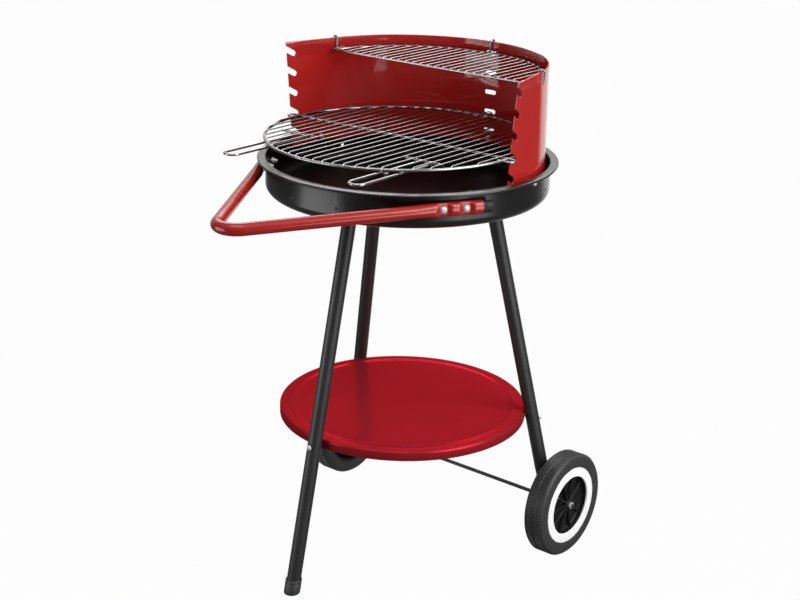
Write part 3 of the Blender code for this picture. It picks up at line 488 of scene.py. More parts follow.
# %% Notches and slots
NOTCHES, IN_USE, NOTCH_TOP, NOTCH_STEP = 5, 3, 0.0183, 0.0316
NOTCH_IN, NOTCH_R, NOTCH_RUN, NOTCH_SLANT = 0.012, 0.0045, 0.030, radians(30)
SLOT_R, SLOT_HALF, SLOT_LIFT = 0.0035, 0.0075, 0.0017
BAR_DROP, ROD_RISE, RIM_RISE = 0.0022, 0.0031, -0.0002
BAR_Y = NOTCH_IN - SHIELD_FRONT
BAR_Z = SHIELD_TOP - NOTCH_TOP - IN_USE * NOTCH_STEP - BAR_DROP
out_y, out_z = -cos(NOTCH_SLANT) * NOTCH_RUN, sin(NOTCH_SLANT) * NOTCH_RUN
tools = []
for step in range(NOTCHES):
    z = SHIELD_TOP - NOTCH_TOP - step * NOTCH_STEP
    notch = arc((BAR_Y, z), NOTCH_R, -120, 60, 12)
    notch += [(y + out_y, h + out_z) for y, h in (notch[-1], notch[0])]
    tools.append(lofted([[(x, y, h) for y, h in notch] for x in (-0.26, 0.26)]))
    z = BAR_Z + RIM_RISE + SLOT_LIFT + (IN_USE - step) * NOTCH_STEP
    slot = arc((SLOT_HALF, z), SLOT_R, -90, 90, 8) + arc((-SLOT_HALF, z), SLOT_R, 90, 270, 8)
    tools.append(lofted([[(x, y, h) for x, h in slot] for y in (0.19, 0.23)]))
sheet = cut(shield, tools)
done("shield_sheet", sheet, "frame", "red_paint", RED_PAINT, "wind_shield", angle=25)

# %% [markdown]
# The cooking grid is welded from plated wire. A round rim carries parallel rods whose ends turn
# down over it. A thicker cross bar lies under the rods and runs out on both sides to a flat
# hairpin, which hangs in the shield's notches. A small tongue at the rear goes into a slot.
# Each wire is a curve with a round bevel, and the wires are joined at the end.

# %% Cooking grid
GRID, RIM_WIRE, ROD_WIRE, BAR_WIRE = 0.203, 0.0022, 0.0012, 0.0020
RODS, ROD_PITCH = 24, 0.01685
PIN_R, PIN_PAST, PIN_BACK = 0.008, 0.006, 0.007
TONGUE_R, TONGUE_PAST = 0.006, 0.004
centre = Vector((0, BAR_Y, BAR_Z))


def on_grid(points, rise):
    return [centre + Vector((x, y, rise)) for x, y in points]


wires = [wire(on_grid(arc((0, 0), GRID, 0, 360, 120)[:-1], RIM_RISE), RIM_WIRE, True)]
for k in range(RODS):
    x = (k - (RODS - 1) / 2) * ROD_PITCH
    half = sqrt(GRID ** 2 - x ** 2)
    turn_down = [(half + 0.0016, RIM_RISE - 0.0002), (half + 0.0010, RIM_RISE + 0.0014),
                 (half - 0.0010, ROD_RISE - 0.0006), (half - 0.0040, ROD_RISE),
                 (half * 0.5, ROD_RISE)]
    path = [(x, -y, z) for y, z in turn_down] + [(x, y, z) for y, z in reversed(turn_down)]
    wires.append(wire([centre + Vector(p) for p in path], ROD_WIRE, fineness=2))
radius, flare = shield_shape(BAR_Z)
face = (radius - sin(flare) * BAR_Y) / cos(flare)
hairpin = arc((face + PIN_PAST - PIN_R, -PIN_R), PIN_R, 90, -90, 14)
hairpin += [(GRID - PIN_BACK, -2 * PIN_R)]
path = [(-x, y) for x, y in reversed(hairpin)] + hairpin
wires.append(wire(on_grid(path, 0), BAR_WIRE))
tip = shield_shape(BAR_Z + RIM_RISE)[0] + TONGUE_PAST - ROD_WIRE - BAR_Y
root = GRID - TONGUE_R
tongue = [(TONGUE_R, root)] + arc((0, tip - TONGUE_R), TONGUE_R, 0, 180, 14) + [(-TONGUE_R, root)]
wires.append(wire(on_grid(tongue, RIM_RISE), ROD_WIRE))
done("grid_wires", joined(wires), "cooking_grid", "chrome_wire", CHROME, "cooking_grid", angle=60)

# %% [markdown]
# Two wire grips are welded under the front of the grid. Each is a long hairpin with a short
# cross rod over its open end, so it can be held with a cloth or lifted with a hook.

# %% Grid grips
GRIP_WIRE, GRIP_X, GRIP_R, GRIP_REACH, GRIP_ROOT = 0.0020, 0.120, 0.012, 0.245, 0.085
CROSS_HALF, CROSS_Y, CROSS_GAP, WELD = 0.036, -0.091, 0.0006, 0.0003
over = ROD_RISE - ROD_WIRE - GRIP_WIRE - CROSS_GAP
under = min(over - 2 * GRIP_WIRE + WELD, RIM_RISE - RIM_WIRE - GRIP_WIRE - GAP)
for side, label in SIDES:
    x = side * GRIP_X
    path = [(x - GRIP_R, -GRIP_ROOT)] + arc((x, GRIP_R - GRIP_REACH), GRIP_R, 180, 360, 20)
    path += [(x + GRIP_R, -GRIP_ROOT)]
    bar = [(x - CROSS_HALF, CROSS_Y), (x + CROSS_HALF, CROSS_Y)]
    grip = joined([wire(on_grid(path, under), GRIP_WIRE, fineness=4),
                   wire(on_grid(bar, over), GRIP_WIRE, fineness=4)])
    done(f"grip_{label}", grip, "cooking_grid", "chrome_wire", CHROME, f"grid_grip_{label}",
         angle=60)

# %% [markdown]
# The warming rack is a half moon of thinner wire. It hangs inside the shield on three hooks that
# go over the hemmed edge, so it can be lifted straight off.

# %% Warming rack
RACK_R, RACK_FRONT, RACK_WIRE, RACK_ROD = 0.2005, 0.045, 0.0016, 0.0011
RACK_RODS, RACK_PITCH, ROD_PAST, ROD_WELD = 27, 0.0146, 0.0015, 0.0004
RACK_Z = SHIELD_TOP - 0.018
start = asin(RACK_FRONT / RACK_R) * 180 / pi
moon = arc((0, 0), RACK_R, start, 180 - start, 72)
wires = [wire([(x, y, RACK_Z) for x, y in moon], RACK_WIRE, True)]
z = RACK_Z + RACK_WIRE + RACK_ROD - ROD_WELD
for k in range(RACK_RODS):
    x = (k - (RACK_RODS - 1) / 2) * RACK_PITCH
    rear = sqrt(RACK_R ** 2 - x ** 2)
    stops = RACK_FRONT - ROD_PAST, (RACK_FRONT + rear) / 2, rear + ROD_PAST
    wires.append(wire([(x, y, z) for y in stops], RACK_ROD, fineness=2))
done("rack_wires", joined(wires), "warming_rack", "chrome_wire", CHROME, "warming_rack", angle=60)

# %% Rack hooks
HOOK_R, HOOK_TALL, HEM_CLEAR = 0.003, 0.020, 0.0011
near = RACK_R + 2 * RACK_WIRE + GAP
far = shield_shape(SHIELD_TOP)[0] + HEM_CLEAR + GAP + 2 * RACK_WIRE
crest = SHIELD_TOP + RACK_WIRE + GAP
for degrees, label in ((16, "right"), (90, "rear"), (164, "left")):
    path = [(near, RACK_Z - RACK_WIRE)]
    path += arc((near + HOOK_R, crest - HOOK_R), HOOK_R, 180, 90, 6)
    path += arc((far - HOOK_R, crest - HOOK_R), HOOK_R, 90, 0, 6)
    path += [(far, crest - HOOK_TALL)]
    hook = wire([polar(r, degrees, z) for r, z in path], RACK_WIRE)
    done(f"hook_{label}", hook, "warming_rack", "chrome_wire", CHROME, f"rack_hook_{label}",
         angle=60)

# %% [markdown]
# The pull handle is one steel tube bent to a V with a rounded nose. Its tails lie against the
# bowl: the tube is pressed flat on the bowl's side, and dimpled on the outside where each bolt
# sits. A loft of outlines with separate half thickness on the two sides gives all of that.

# %% Pull handle
HALF_V, TUBE, REACH, HANDLE_Z = radians(32), 0.00925, 0.402, RIM_Z - 0.0230
INWARD, BULGE, TALL, DIMPLE, TAIL = 0.0042, 0.0086, 0.0103, 0.0064, 0.036
BOLT_STEP, BOLT_SHIFT, NECK, PRESS = 0.017, 0.006, 0.036, 0.0060
OVAL, PRESSED, CIRCLE = 2.3, 3.4, 2.0
STATIONS, STATION, NOSE_STEPS, AROUND = 66, 0.0016, 40, 40
DROOP, DROOP_FROM = 0.030, 0.030
TOUCH = WALL + GAP + INWARD


def tube_ring(middle, normal, upright, inner, outer, tall, power):
    """An outline round a tube, with its own half thickness on each side; power squares it."""
    ring = []
    for k in range(AROUND):
        c, s = cos(2 * pi * k / AROUND), sin(2 * pi * k / AROUND)
        out = abs(c) ** (2 / power) * (outer if c > 0 else -inner)
        rise = abs(s) ** (2 / power) * (tall if s > 0 else -tall)
        ring.append(middle + normal * out + upright * rise)
    return ring


def round_ring(middle, normal, upright, radius):
    return tube_ring(middle, normal, upright, radius, radius, radius, CIRCLE)


def ease(low, high, share):
    share = min(max(share, 0), 1)
    return low + (high - low) * share * share * (3 - 2 * share)


def tail_shape(s):
    """Half thickness on both sides, half height and squareness of the tube, s along the arm."""
    s -= BOLT_SHIFT
    neck = (s - BOLT_STEP - DIMPLE) / NECK
    away = min(abs(s - BOLT_STEP), abs(s + BOLT_STEP))
    press = 1 - (away - PRESS) / PRESS
    outer = ease(ease(BULGE, INWARD, press), TUBE, neck)
    square = ease(ease(OVAL, PRESSED, press), CIRCLE, neck)
    return ease(INWARD, TUBE, neck), outer, ease(TALL, TUBE, neck), square


def arm_frame(side):
    """An arm's outward and forward directions."""
    normal = Vector((side * cos(HALF_V), -sin(HALF_V), 0))
    return normal, Vector((-side * sin(HALF_V), -cos(HALF_V), 0))


def arm(side):
    normal, forward = arm_frame(side)
    base = normal * TOUCH + UP * HANDLE_Z
    places = [-TAIL + STATION * k for k in range(STATIONS)]
    return [tube_ring(base + forward * s, normal, UP, *tail_shape(s)) for s in places]


widen = 1 / sin(HALF_V)
nose = (TOUCH * widen - REACH + TUBE) / (widen - 1)
nose_at = Vector((0, nose - REACH + TUBE, HANDLE_Z))
rings = arm(1)
for k in range(NOSE_STEPS + 1):
    turn = -HALF_V + (2 * HALF_V - pi) * k / NOSE_STEPS
    normal = Vector((cos(turn), sin(turn), 0))
    rings.append(round_ring(nose_at + normal * nose, normal, UP, TUBE))
rings += arm(-1)[::-1]
droop_y = -TOUCH * sin(HALF_V) - DROOP_FROM
for point in (point for ring in rings for point in ring):
    point.z -= DROOP * max(0, droop_y - point.y)
handle = lofted(rings)
done("handle_tube", handle, "frame", "red_paint", RED_HANDLE, "pull_handle", angle=50)

# %% Handle plugs
PLUG = ((GAP, 0.96), (0.0030, 0.96), (0.0036, 0.88), (0.0130, 0.86), (0.0146, 0.82),
        (0.0156, 0.74), (0.0160, 0.62))
for side, label in SIDES:
    normal, forward = arm_frame(side)
    base = normal * TOUCH + UP * HANDLE_Z
    rings = [tube_ring(base - forward * (TAIL + s), normal, UP,
                       INWARD * scale, BULGE * scale, TALL * scale, OVAL) for s, scale in PLUG]
    done(f"tube_plug_{label}", lofted(rings), "frame", "black_plastic", BLACK_PLASTIC,
         f"handle_plug_{label}", angle=50)

# %% [markdown]
# The legs are tubes that lean in towards the top, where they are flattened into a tab and bent
# under the bowl. The rear ones are also flattened at the bottom, so that the axle can pass
# through a thin place. Loft rings follow the tube and change from round to flat.

# %% Legs
LEG, LEG_FOOT, LEG_LEAN, LEG_START = 0.011, 0.2614, 0.2227, 0.0043
TAB, TAB_WIDE, TAB_LONG, TAB_SQUARE, BEND_R, BEND_STEPS = 0.0035, 0.0145, 0.0485, 3.6, 0.022, 16
AXLE_Z, AXLE_BACK, KNEE = 0.0851, 0.0097, 0.066
FLAT, FLAT_WIDE, FLAT_SQUARE, FLAT_LONG, FLAT_STEPS = 0.0045, 0.0145, 3.4, 0.016, 21
KNEE_Z = AXLE_Z + KNEE
TAB_Z = FLOOR_Z - GAP - TAB


def leg_radius(z):
    return LEG_FOOT - LEG_LEAN * z


def leg_ring(radial, z, radius):
    side = Vector((-radial.y, radial.x, 0))
    return round_ring(radial * leg_radius(z) + UP * z, radial, side, radius)


def upper_leg(radial):
    """The bend under the bowl, where the round tube goes over into a flat tab."""
    side = Vector((-radial.y, radial.x, 0))
    lean = atan(LEG_LEAN)
    turn = pi / 2 - lean
    corner = leg_radius(TAB_Z) - BEND_R * tan(turn / 2)
    rings = []
    for k in range(BEND_STEPS + 1):
        share = k / BEND_STEPS
        swing = lean + turn * share
        normal = radial * cos(swing) + UP * sin(swing)
        at = radial * (corner + BEND_R * cos(swing)) + UP * (TAB_Z - BEND_R + BEND_R * sin(swing))
        flat = sin(share * pi / 2)
        thick, wide = LEG + (TAB - LEG) * flat, LEG + (TAB_WIDE - LEG) * flat
        square = CIRCLE + (TAB_SQUARE - CIRCLE) * flat
        rings.append(tube_ring(at, normal, side, thick, thick, wide, square))
    end = leg_radius(TAB_Z) - TAB_LONG
    for inset, scale in ((0.0015, 1.0), (0, 0.88)):
        at = radial * (end + inset) + UP * TAB_Z
        rings.append(tube_ring(at, UP, side, TAB, TAB, TAB_WIDE * scale, TAB_SQUARE))
    return rings


def lower_leg(radial):
    """The flat place for the axle, and the round tube above it."""
    way = 1 if radial.x > 0 else -1
    rings = []
    for k in range(FLAT_STEPS + 1):
        z = AXLE_Z - FLAT_LONG + (KNEE + FLAT_LONG) * k / FLAT_STEPS
        share = (z - AXLE_Z - FLAT_LONG) / (KNEE - FLAT_LONG)
        thick, wide = ease(FLAT, LEG, share), ease(FLAT_WIDE, LEG, share)
        back = AXLE_BACK * (KNEE_Z - z) / KNEE
        at = Vector((way * FLAT_X, leg_radius(z) * radial.y + back, z))
        normal = Vector((way, 0, 0)).lerp(radial, ease(0, 1, share)).normalized()
        side = Vector((-normal.y, normal.x, 0))
        square = ease(FLAT_SQUARE, CIRCLE, share)
        rings.append(tube_ring(at, normal, side, thick, thick, wide, square))
    return rings + [leg_ring(radial, z, LEG) for z in (0.20, 0.30, 0.45)]


FLAT_X = leg_radius(KNEE_Z) * cos(radians(30))
for label, degrees in LEGS:
    radial = polar(1, degrees)
    if label == "front":
        rings = [leg_ring(radial, z, LEG) for z in (LEG_START, 0.15, 0.30, 0.45)]
    else:
        rings = lower_leg(radial)
    leg = lofted(rings + upper_leg(radial))
    done(f"leg_tube_{label}", leg, "frame", "leg_paint", LEG_COAT, f"leg_{label}", angle=50)

# %% [markdown]
# The front leg stands in a soft plastic cap: a cup with a level sole and a fine groove under
# its mouth. It leans with the leg, so its outlines are shifted as they rise.

# %% Foot cap
LINING, SOLE, MOUTH = LEG + GAP, 0.0041, 0.0228
CUP = LINING + 0.0014
MOUTH_LINE = ((0.0055, 0), (0.0050, 0.0004), (0.0040, 0.0004), (0.0035, 0), (0.0010, 0),
              (0.0003, 0.0004), (0, 0.0010))
steps = [(0, CUP - 0.0022), (0.0004, CUP - 0.0010), (0.0014, CUP - 0.0002), (0.0030, CUP)]
steps += [(MOUTH - low, CUP - deep) for low, deep in MOUTH_LINE]
steps += [(MOUTH, LINING), (SOLE, LINING)]
cap = lofted([leg_ring(polar(1, -90), z, radius) for z, radius in steps])
done("foot_cup", cap, "frame", "black_plastic", TREAD, "foot_cap", angle=40)

# %% [markdown]
# The shelf is a shallow pressing like a tray turned over: a flat top with one raised bead near
# the edge for stiffness, a rounded edge and a short skirt that the legs are screwed to.

# %% Shelf
SHELF_Z, ROUND, SKIRT, LIP = 0.2398, 0.004, 0.0149, 0.0005
BEAD_IN, BEAD_HALF, BEAD_TALL, BEAD_STEPS = 0.019, 0.006, 0.0018, 5
SHELF = leg_radius(SHELF_Z - ROUND) - LEG - GAP
skirt_z = SHELF_Z - SKIRT
swell = []
for k in range(-BEAD_STEPS, BEAD_STEPS + 1):
    share = k / BEAD_STEPS
    swell.append((SHELF - BEAD_IN + BEAD_HALF * share, BEAD_TALL / 2 * (1 + cos(pi * share))))
outline = [(r, SHELF_Z) for r in (0, *DISC_RINGS)]
outline += [(r, SHELF_Z + h) for r, h in swell]
outline += arc((SHELF - ROUND, SHELF_Z - ROUND), ROUND, 90, 0, 8)
outline += [(SHELF, skirt_z), (SHELF - 0.0003, skirt_z - LIP), (SHELF - 0.0009, skirt_z - LIP)]
outline += [(SHELF - SHEET, skirt_z)]
outline += arc((SHELF - ROUND, SHELF_Z - ROUND), ROUND - SHEET, 0, 90, 8)
outline += [(r, SHELF_Z + h - SHEET) for r, h in reversed(swell)]
outline += [(r, SHELF_Z - SHEET) for r in (*reversed(DISC_RINGS), 0)]
done("shelf_pressing", turned(outline, 160), "frame", "red_paint", RED_SHELF, "shelf")

# %% [markdown]
# Each wheel has three pieces. The tyre is hard plastic with two staggered rows of short ribs and
# a fine line between them; a flat white ring covers its side; and the dished hub has thin spokes
# that rise towards the middle. The tyre is a loft of sections that goes once round, with the
# ribs raised section by section, so that they are true geometry.

# %% Tyres
WHEEL, HALF_WIDE, BORE, WHEEL_X = 0.0851, 0.0174, 0.0637, FLAT_X + 0.0337
AXLE_Y = leg_radius(AXLE_Z) * sin(radians(30)) + AXLE_BACK
RIBS, PER_RIB, RIB, RIB_HALF, RIB_SLOPE = 104, 6, 0.0012, 0.34, 0.08
side_line = [(HALF_WIDE - 0.0020, BORE), (HALF_WIDE - 0.0004, BORE + 0.0012),
             (HALF_WIDE, BORE + 0.0030), (HALF_WIDE, WHEEL - 0.0070),
             (HALF_WIDE - 0.0002, WHEEL - 0.0052), (HALF_WIDE - 0.0008, WHEEL - 0.0036),
             (HALF_WIDE - 0.0018, WHEEL - 0.0025), (HALF_WIDE - 0.0032, WHEEL - 0.0017)]
tread_line = [(0.0132, 0.0), (0.0129, 1.0), (0.0070, 1.0), (0.0016, 1.0), (0.0012, 0.0)]


def tyre_section(share):
    """Outline of the tyre at a place round it, as (across, radius); share counts ribs."""
    low = WHEEL - RIB
    halves = []
    for row in (0, 1):
        wave = (share + 0.5 * row) % 1.0
        lift = min(max((RIB_HALF - abs(wave - 0.5)) / RIB_SLOPE, 0), 1)
        tread = [(x, low + RIB * lift * raised) for x, raised in tread_line]
        halves.append(side_line + tread + [(0.0005, low - 0.0007)])
    return halves[0] + [(-x, r) for x, r in reversed(halves[1])]


sections = RIBS * PER_RIB
tyre_rings = []
for k in range(sections):
    turn = 2 * pi * k / sections
    tyre_rings.append([Vector((x, r * cos(turn), r * sin(turn)))
                       for x, r in tyre_section(k / PER_RIB)])
for way, label in SIDES:
    tyre = lofted(tyre_rings, path_closed=True)
    tyre.rotation_euler.z = 0 if way > 0 else pi
    tyre.location = (way * WHEEL_X, AXLE_Y, AXLE_Z)
    done(f"wheel_tread_{label}", tyre, f"wheel_{label}", "wheel_tread", TREAD, f"tyre_{label}",
         angle=28)

# %% Trim rings
RING_IN, RING_OUT, RING_BACK, EDGE = 0.0484, BORE - GAP, HALF_WIDE - 0.0030, 0.0012


def on_wheel(piece, way):
    """Turn a piece that was made along Z to face outwards, and set it on the axle."""
    return aimed(piece, (way * WHEEL_X, AXLE_Y, AXLE_Z), (way, 0, 0))


outline = [(RING_IN, RING_BACK)]
outline += arc((RING_IN + EDGE, HALF_WIDE - EDGE), EDGE, 180, 90, 5)
outline += [(RING_IN + 0.0038, HALF_WIDE), (RING_OUT - 0.0030, HALF_WIDE + 0.0001)]
outline += arc((RING_OUT - EDGE, HALF_WIDE - EDGE), EDGE, 90, 0, 5)
outline += [(RING_OUT, RING_BACK), (RING_IN, RING_BACK)]
for way, label in SIDES:
    ring = on_wheel(turned(outline, 128), way)
    done(f"trim_ring_{label}", ring, f"wheel_{label}", "ring_white", WHITE_PLASTIC,
         f"wheel_ring_{label}", angle=40)

# %% Hubs
BOSS, HUB_FACE, HOLE, WEB, DRAFT = 0.0090, 0.0150, 0.0033, 0.0050, 0.0010
FOOT_R, DISH_R, SKIN, WEB_DEEP = 0.0020, 0.0030, 0.0025, 0.0030
SPOKES, SPOKE_STEPS, SPOKE_CURVE = 10, 8, 1.35
BOSS_IN = WHEEL_X - FLAT_X - FLAT - GAP
DRUM, FACE, WALL_IN = BORE - GAP, HALF_WIDE - 0.0033, RING_IN + 0.0025
outline = [(HOLE, -BOSS_IN), (HOLE, HUB_FACE)]
outline += arc((BOSS - EDGE, HUB_FACE - EDGE), EDGE, 90, 0, 4)
outline += arc((BOSS + DRAFT + FOOT_R, WEB + FOOT_R), FOOT_R, 180, 270, 4) + [(0.026, WEB)]
outline += arc((RING_IN - DISH_R, WEB + DISH_R), DISH_R, -90, 0, 5)
outline += [(RING_IN, FACE), (DRUM, FACE), (DRUM, -FACE), (DRUM - SKIN, -FACE)]
outline += [(DRUM - SKIN, FACE - SKIN), (WALL_IN, FACE - SKIN), (WALL_IN, WEB - WEB_DEEP)]
outline += [(BOSS + DRAFT, WEB - WEB_DEEP), (BOSS, -BOSS_IN), (HOLE, -BOSS_IN)]


def spoke(turn):
    """A thin rib from the boss to the ring, high at the boss."""
    out, across = Vector((cos(turn), sin(turn), 0)), Vector((-sin(turn), cos(turn), 0))
    start, end = BOSS - EDGE, RING_IN + 0.0006
    low, high, root = WEB + 0.0052, HUB_FACE - 0.0015, WEB - 0.0012
    rings = []
    for k in range(SPOKE_STEPS + 1):
        share = k / SPOKE_STEPS
        r = start + (end - start) * share
        top = low + (high - low) * (1 - share) ** SPOKE_CURVE
        wide = 0.0015 - 0.0003 * share
        half = [(wide, root), (wide * 0.85, top - 0.0008), (wide * 0.45, top)]
        ring = half + [(-w, h) for w, h in reversed(half)]
        rings.append([out * r + across * w + UP * h for w, h in ring])
    return lofted(rings)


for way, label in SIDES:
    spokes = [spoke(2 * pi * (k + 0.5) / SPOKES) for k in range(SPOKES)]
    hub = on_wheel(joined([turned(outline, 96)] + spokes), way)
    done(f"spoked_hub_{label}", hub, f"wheel_{label}", "black_plastic", BLACK_PLASTIC,
         f"wheel_hub_{label}", angle=35)

# %% [markdown]
# A plain steel rod joins the wheels. Its ends are rounded where the nuts start.

# %% Axle
AXLE_R, AXLE_TIP, STUB, AXLE_NUT = 0.0030, 0.0010, 0.0025, (0.0056, 0.0048, 0.0033)
END = WHEEL_X + HUB_FACE + GAP + AXLE_NUT[1] + STUB
half = [(AXLE_R, 0.1), (AXLE_R, END - AXLE_TIP), (AXLE_R - AXLE_TIP, END), (0, END)]
outline = [(r, -z) for r, z in reversed(half)] + half
rod = aimed(turned(outline, 32), (0, AXLE_Y, AXLE_Z), (1, 0, 0))
done("axle_rod", rod, "frame", "leg_paint", LEG_COAT, "axle")

# %% [markdown]
# Everything is held by plated fasteners: dome-headed bolts with a cross recess, hexagon nuts
# with rounded corners, and sleeves that keep the shield off the bowl's wall. One function makes
# each kind, so every bolt and nut comes from the same outline at its own place.

# %% Bolts
BOLT, SMALL_BOLT = (0.0055, 0.0036, 0.0025), (0.0045, 0.0030, 0.0022)
CROWN, CROWN_STEP, CHAMFER = 78, 13, 0.0006


def bolt(head, height, shank, grip):
    """A bolt along Z, with the underside of its head at zero."""
    span, low = sin(radians(CROWN)), cos(radians(CROWN))
    outline = []
    for degrees in range(0, CROWN + 1, CROWN_STEP):
        a = radians(degrees)
        outline.append((head * sin(a) / span, height * (cos(a) - low) / (1 - low)))
    outline += [(shank, 0), (shank, -grip + CHAMFER), (shank - CHAMFER, -grip), (0, -grip)]
    piece = turned(outline, 40)
    wing = head * 0.52
    blades = []
    for turn in (0, pi / 2):
        rings = []
        for z, wide, long in ((height * 0.5, 0.16, 0.45), (height + 0.001, 0.24, 1.0)):
            x, y = wing * long, head * wide * 0.6
            rings.append([(u * cos(turn) - v * sin(turn), u * sin(turn) + v * cos(turn), z)
                          for u, v in ((x, y), (-x, y), (-x, -y), (x, -y))])
        blades.append(lofted(rings))
    for blade in blades:
        cut(piece, [blade])
    return piece


def place_bolt(name, seat, direction, grip, size=BOLT):
    piece = aimed(bolt(*size, grip), seat, direction)
    done(name + "_made", piece, "frame", "zinc", ZINC, name, angle=32)


print("bolts ready")

# %% Nuts
NUT, SMALL_NUT = (0.0047, 0.0042, 0.0028), (0.0045, 0.0034, 0.0025)


def nut(half, height, hole):
    """A nut that stands on zero along Z."""
    deselect()
    bpy.ops.mesh.primitive_circle_add(vertices=6, radius=half, fill_type="NGON")
    piece = bpy.context.object
    bpy.ops.object.mode_set(mode="EDIT")
    bpy.ops.mesh.select_all(action="SELECT")
    bpy.ops.mesh.extrude_region_move(TRANSFORM_OT_translate={"value": (0, 0, height)})
    bpy.ops.object.mode_set(mode="OBJECT")
    tidy(piece)
    soften(piece, half * 0.10)
    flare = hole + CHAMFER
    bore = [(0, -0.002), (flare, -0.002), (flare, 0), (hole, CHAMFER), (hole, height - CHAMFER),
            (flare, height), (flare, height + 0.002), (0, height + 0.002)]
    return cut(piece, [turned(bore, 32)])


def place_nut(name, seat, direction, size=NUT):
    piece = aimed(nut(*size), seat, direction)
    done(name + "_made", piece, "frame", "zinc", ZINC, name, angle=32)


for way, label in SIDES:
    seat = (way * (WHEEL_X + HUB_FACE + GAP), AXLE_Y, AXLE_Z)
    place_nut(f"axle_nut_{label}", seat, (way, 0, 0), AXLE_NUT)

# %% Handle bolts
HANDLE_PAST, LEG_PAST, SMALL_PAST = 0.0092, 0.0072, 0.0054
INNER_FLAT = INSIDE * cos(pi / 44)
seat_out = TOUCH + INWARD + GAP
for side, label in SIDES:
    normal, forward = arm_frame(side)
    for step, place in ((-1, "rear"), (1, "front")):
        s = step * BOLT_STEP + BOLT_SHIFT
        seat_in = sqrt(INNER_FLAT ** 2 - (abs(s) + NUT[0]) ** 2) - GAP
        base = forward * s + UP * HANDLE_Z
        grip = seat_out - seat_in + HANDLE_PAST
        place_bolt(f"handle_bolt_{label}_{place}", base + normal * seat_out, normal, grip)
        place_nut(f"handle_nut_{label}_{place}", base + normal * seat_in, -normal)

# %% Leg and shelf fasteners
BOLT_IN, SCREW_DROP = 0.0320, 0.0085
floor, tab_low = FLOOR_Z + SHEET + GAP, FLOOR_Z - GAP - 2 * TAB
hole_r = leg_radius(TAB_Z) - BOLT_IN
screw_z = SHELF_Z - SCREW_DROP
outer = leg_radius(screw_z - SMALL_BOLT[0]) + LEG + GAP
inner = SHELF - SHEET - SMALL_NUT[0] * tan(pi / 36) - GAP
for label, degrees in LEGS:
    radial = polar(1, degrees)
    grip = floor - tab_low + GAP + LEG_PAST
    place_bolt(f"leg_bolt_{label}", polar(hole_r, degrees, floor), UP, grip)
    place_nut(f"leg_nut_{label}", polar(hole_r, degrees, tab_low - GAP), -UP)
    grip = outer - inner + SMALL_PAST
    place_bolt(f"shelf_screw_{label}", polar(outer, degrees, screw_z), radial, grip, SMALL_BOLT)
    place_nut(f"shelf_nut_{label}", polar(inner, degrees, screw_z), -radial, SMALL_NUT)

# %% Shield fasteners
SLEEVE_IN, SLEEVE_OUT, SLEEVE_EDGE = 0.0025, 0.0045, 0.0004
screw_z = RIM_Z - 0.0100
outer = shield_shape(screw_z)[0]
inner = (outer - THIN) * cos(pi / 80)
sleeve = INNER_FLAT - outer - 2 * GAP
lower = [(SLEEVE_OUT, SLEEVE_EDGE), (SLEEVE_OUT - SLEEVE_EDGE, 0), (SLEEVE_IN + SLEEVE_EDGE, 0),
         (SLEEVE_IN, SLEEVE_EDGE)]
outline = lower[-1:] + [(r, sleeve - z) for r, z in reversed(lower)] + lower
for degrees, label in ((8, "right"), (90, "rear"), (172, "left")):
    outward = polar(1, degrees)
    grip = WALL + GAP - inner + GAP + SMALL_PAST
    seat = polar(WALL + GAP, degrees, screw_z)
    place_bolt(f"shield_screw_{label}", seat, outward, grip, SMALL_BOLT)
    place_nut(f"shield_nut_{label}", polar(inner - GAP, degrees, screw_z), -outward, SMALL_NUT)
    tube = aimed(turned(outline, 32), polar(outer + GAP, degrees, screw_z), outward)
    done(f"shield_sleeve_{label}", tube, "frame", "zinc", ZINC, f"shield_spacer_{label}", angle=32)

# %% [markdown]
# The studio is a white sweep: the background and the floor are white, and the floor keeps a soft
# shadow. Gloss on paint and plating needs something to mirror, so the room is bright behind
# the grill and overhead, and dimmer on the camera's side. Six soft lamps shape the grill: a key
# on the right, softboxes behind and overhead, a low panel on each side for the bowl, and a
# weak strip that shows as a pale patch in the shield.

# %% Room


def ray_kinds(tree):
    """Whether a ray comes from the camera, and whether from a glossy surface."""
    ray = tree.nodes.new("ShaderNodeLightPath")
    return [Value(tree, ray.outputs[kind]) for kind in ("Is Camera Ray", "Is Glossy Ray")]


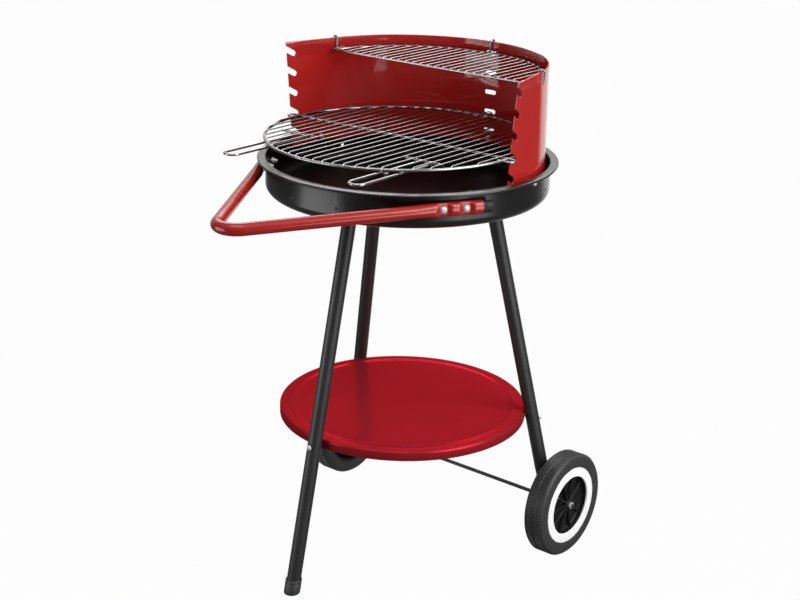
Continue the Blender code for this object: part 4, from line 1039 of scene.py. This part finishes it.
world = bpy.data.worlds.new("studio")
scene.world = world
world.use_nodes = True
tree = world.node_tree
tree.nodes.clear()
view = coordinates(tree, "Generated")
seen, mirrored = ray_kinds(tree)
wall = view.along(UP).spread(0.09, 0.62, 0.28, 0.95)
behind = view.along(level).spread(0.0, 0.60, 0.45, 0.85)
strength = seen + (1 - seen) * wall + mirrored * behind
back = view.node("Background", None, {"Color": (1, 1, 1, 1), "Strength": strength})
out = tree.nodes.new("ShaderNodeOutputWorld")
tree.links.new(back.socket, out.inputs["Surface"])
print("room made")

# %% Floor
deselect()
bpy.ops.mesh.primitive_plane_add(size=12)
floor_sheet = bpy.context.object
floor_sheet.name = "studio_floor"
paper = bpy.data.materials.new("studio_paper")
paper.use_nodes = True
tree = paper.node_tree
tree.nodes.clear()
spot = coordinates(tree, "Object")
seen, mirrored = ray_kinds(tree)
depth = spot.along(level)
aside = spot.along(right)
inside = depth - 1.4 * spot.maths("ABSOLUTE", aside - 0.3 * depth, 0.0)
white = seen * 0.98 + mirrored * inside.spread(0.0, 0.95, -0.2, 0.7)
matt = seen.node("BsdfDiffuse", None, {"Color": (0.14, 0.14, 0.14, 1)})
glow = seen.node("Emission", None, {"Color": (1, 1, 1, 1), "Strength": 1.0})
mixed = seen.node("MixShader", None, {0: white, 1: matt, 2: glow})
out = tree.nodes.new("ShaderNodeOutputMaterial")
tree.links.new(mixed.socket, out.inputs["Surface"])
floor_sheet.data.materials.append(paper)
print("floor laid")

# %% Lamps


def lamp(name, place, target, size, power):
    bpy.ops.object.light_add(type="AREA", location=place)
    light = bpy.context.object
    light.name = name
    light.data.shape, light.data.size, light.data.size_y = "RECTANGLE", *size
    light.data.energy = power
    aim = Vector(target) - Vector(place)
    light.rotation_euler = aim.to_track_quat("-Z", "Y").to_euler()


lamp("right_key", (1.9, 0.35, 1.75), (0, 0.1, 0.45), (1.7, 1.7), 54)
lamp("back_softbox", (-0.76, 1.02, 1.60), (0, 0.0, 0.68), (1.6, 0.6), 14)
lamp("overhead_softbox", (0.2, -0.7, 2.4), (0, 0.0, 0.5), (1.2, 0.5), 10.5)
lamp("left_panel", (-0.85, -1.35, 0.40), (0, 0.0, 0.45), (1.1, 0.8), 10)
lamp("right_panel", (1.6, 0.05, 0.35), (0, 0.05, 0.45), (0.9, 0.8), 6)
lamp("side_strip", (1.38, -0.40, 0.42), (-0.17, 0.21, 0.74), (0.5, 0.45), 2.2)
print("lamps hung")
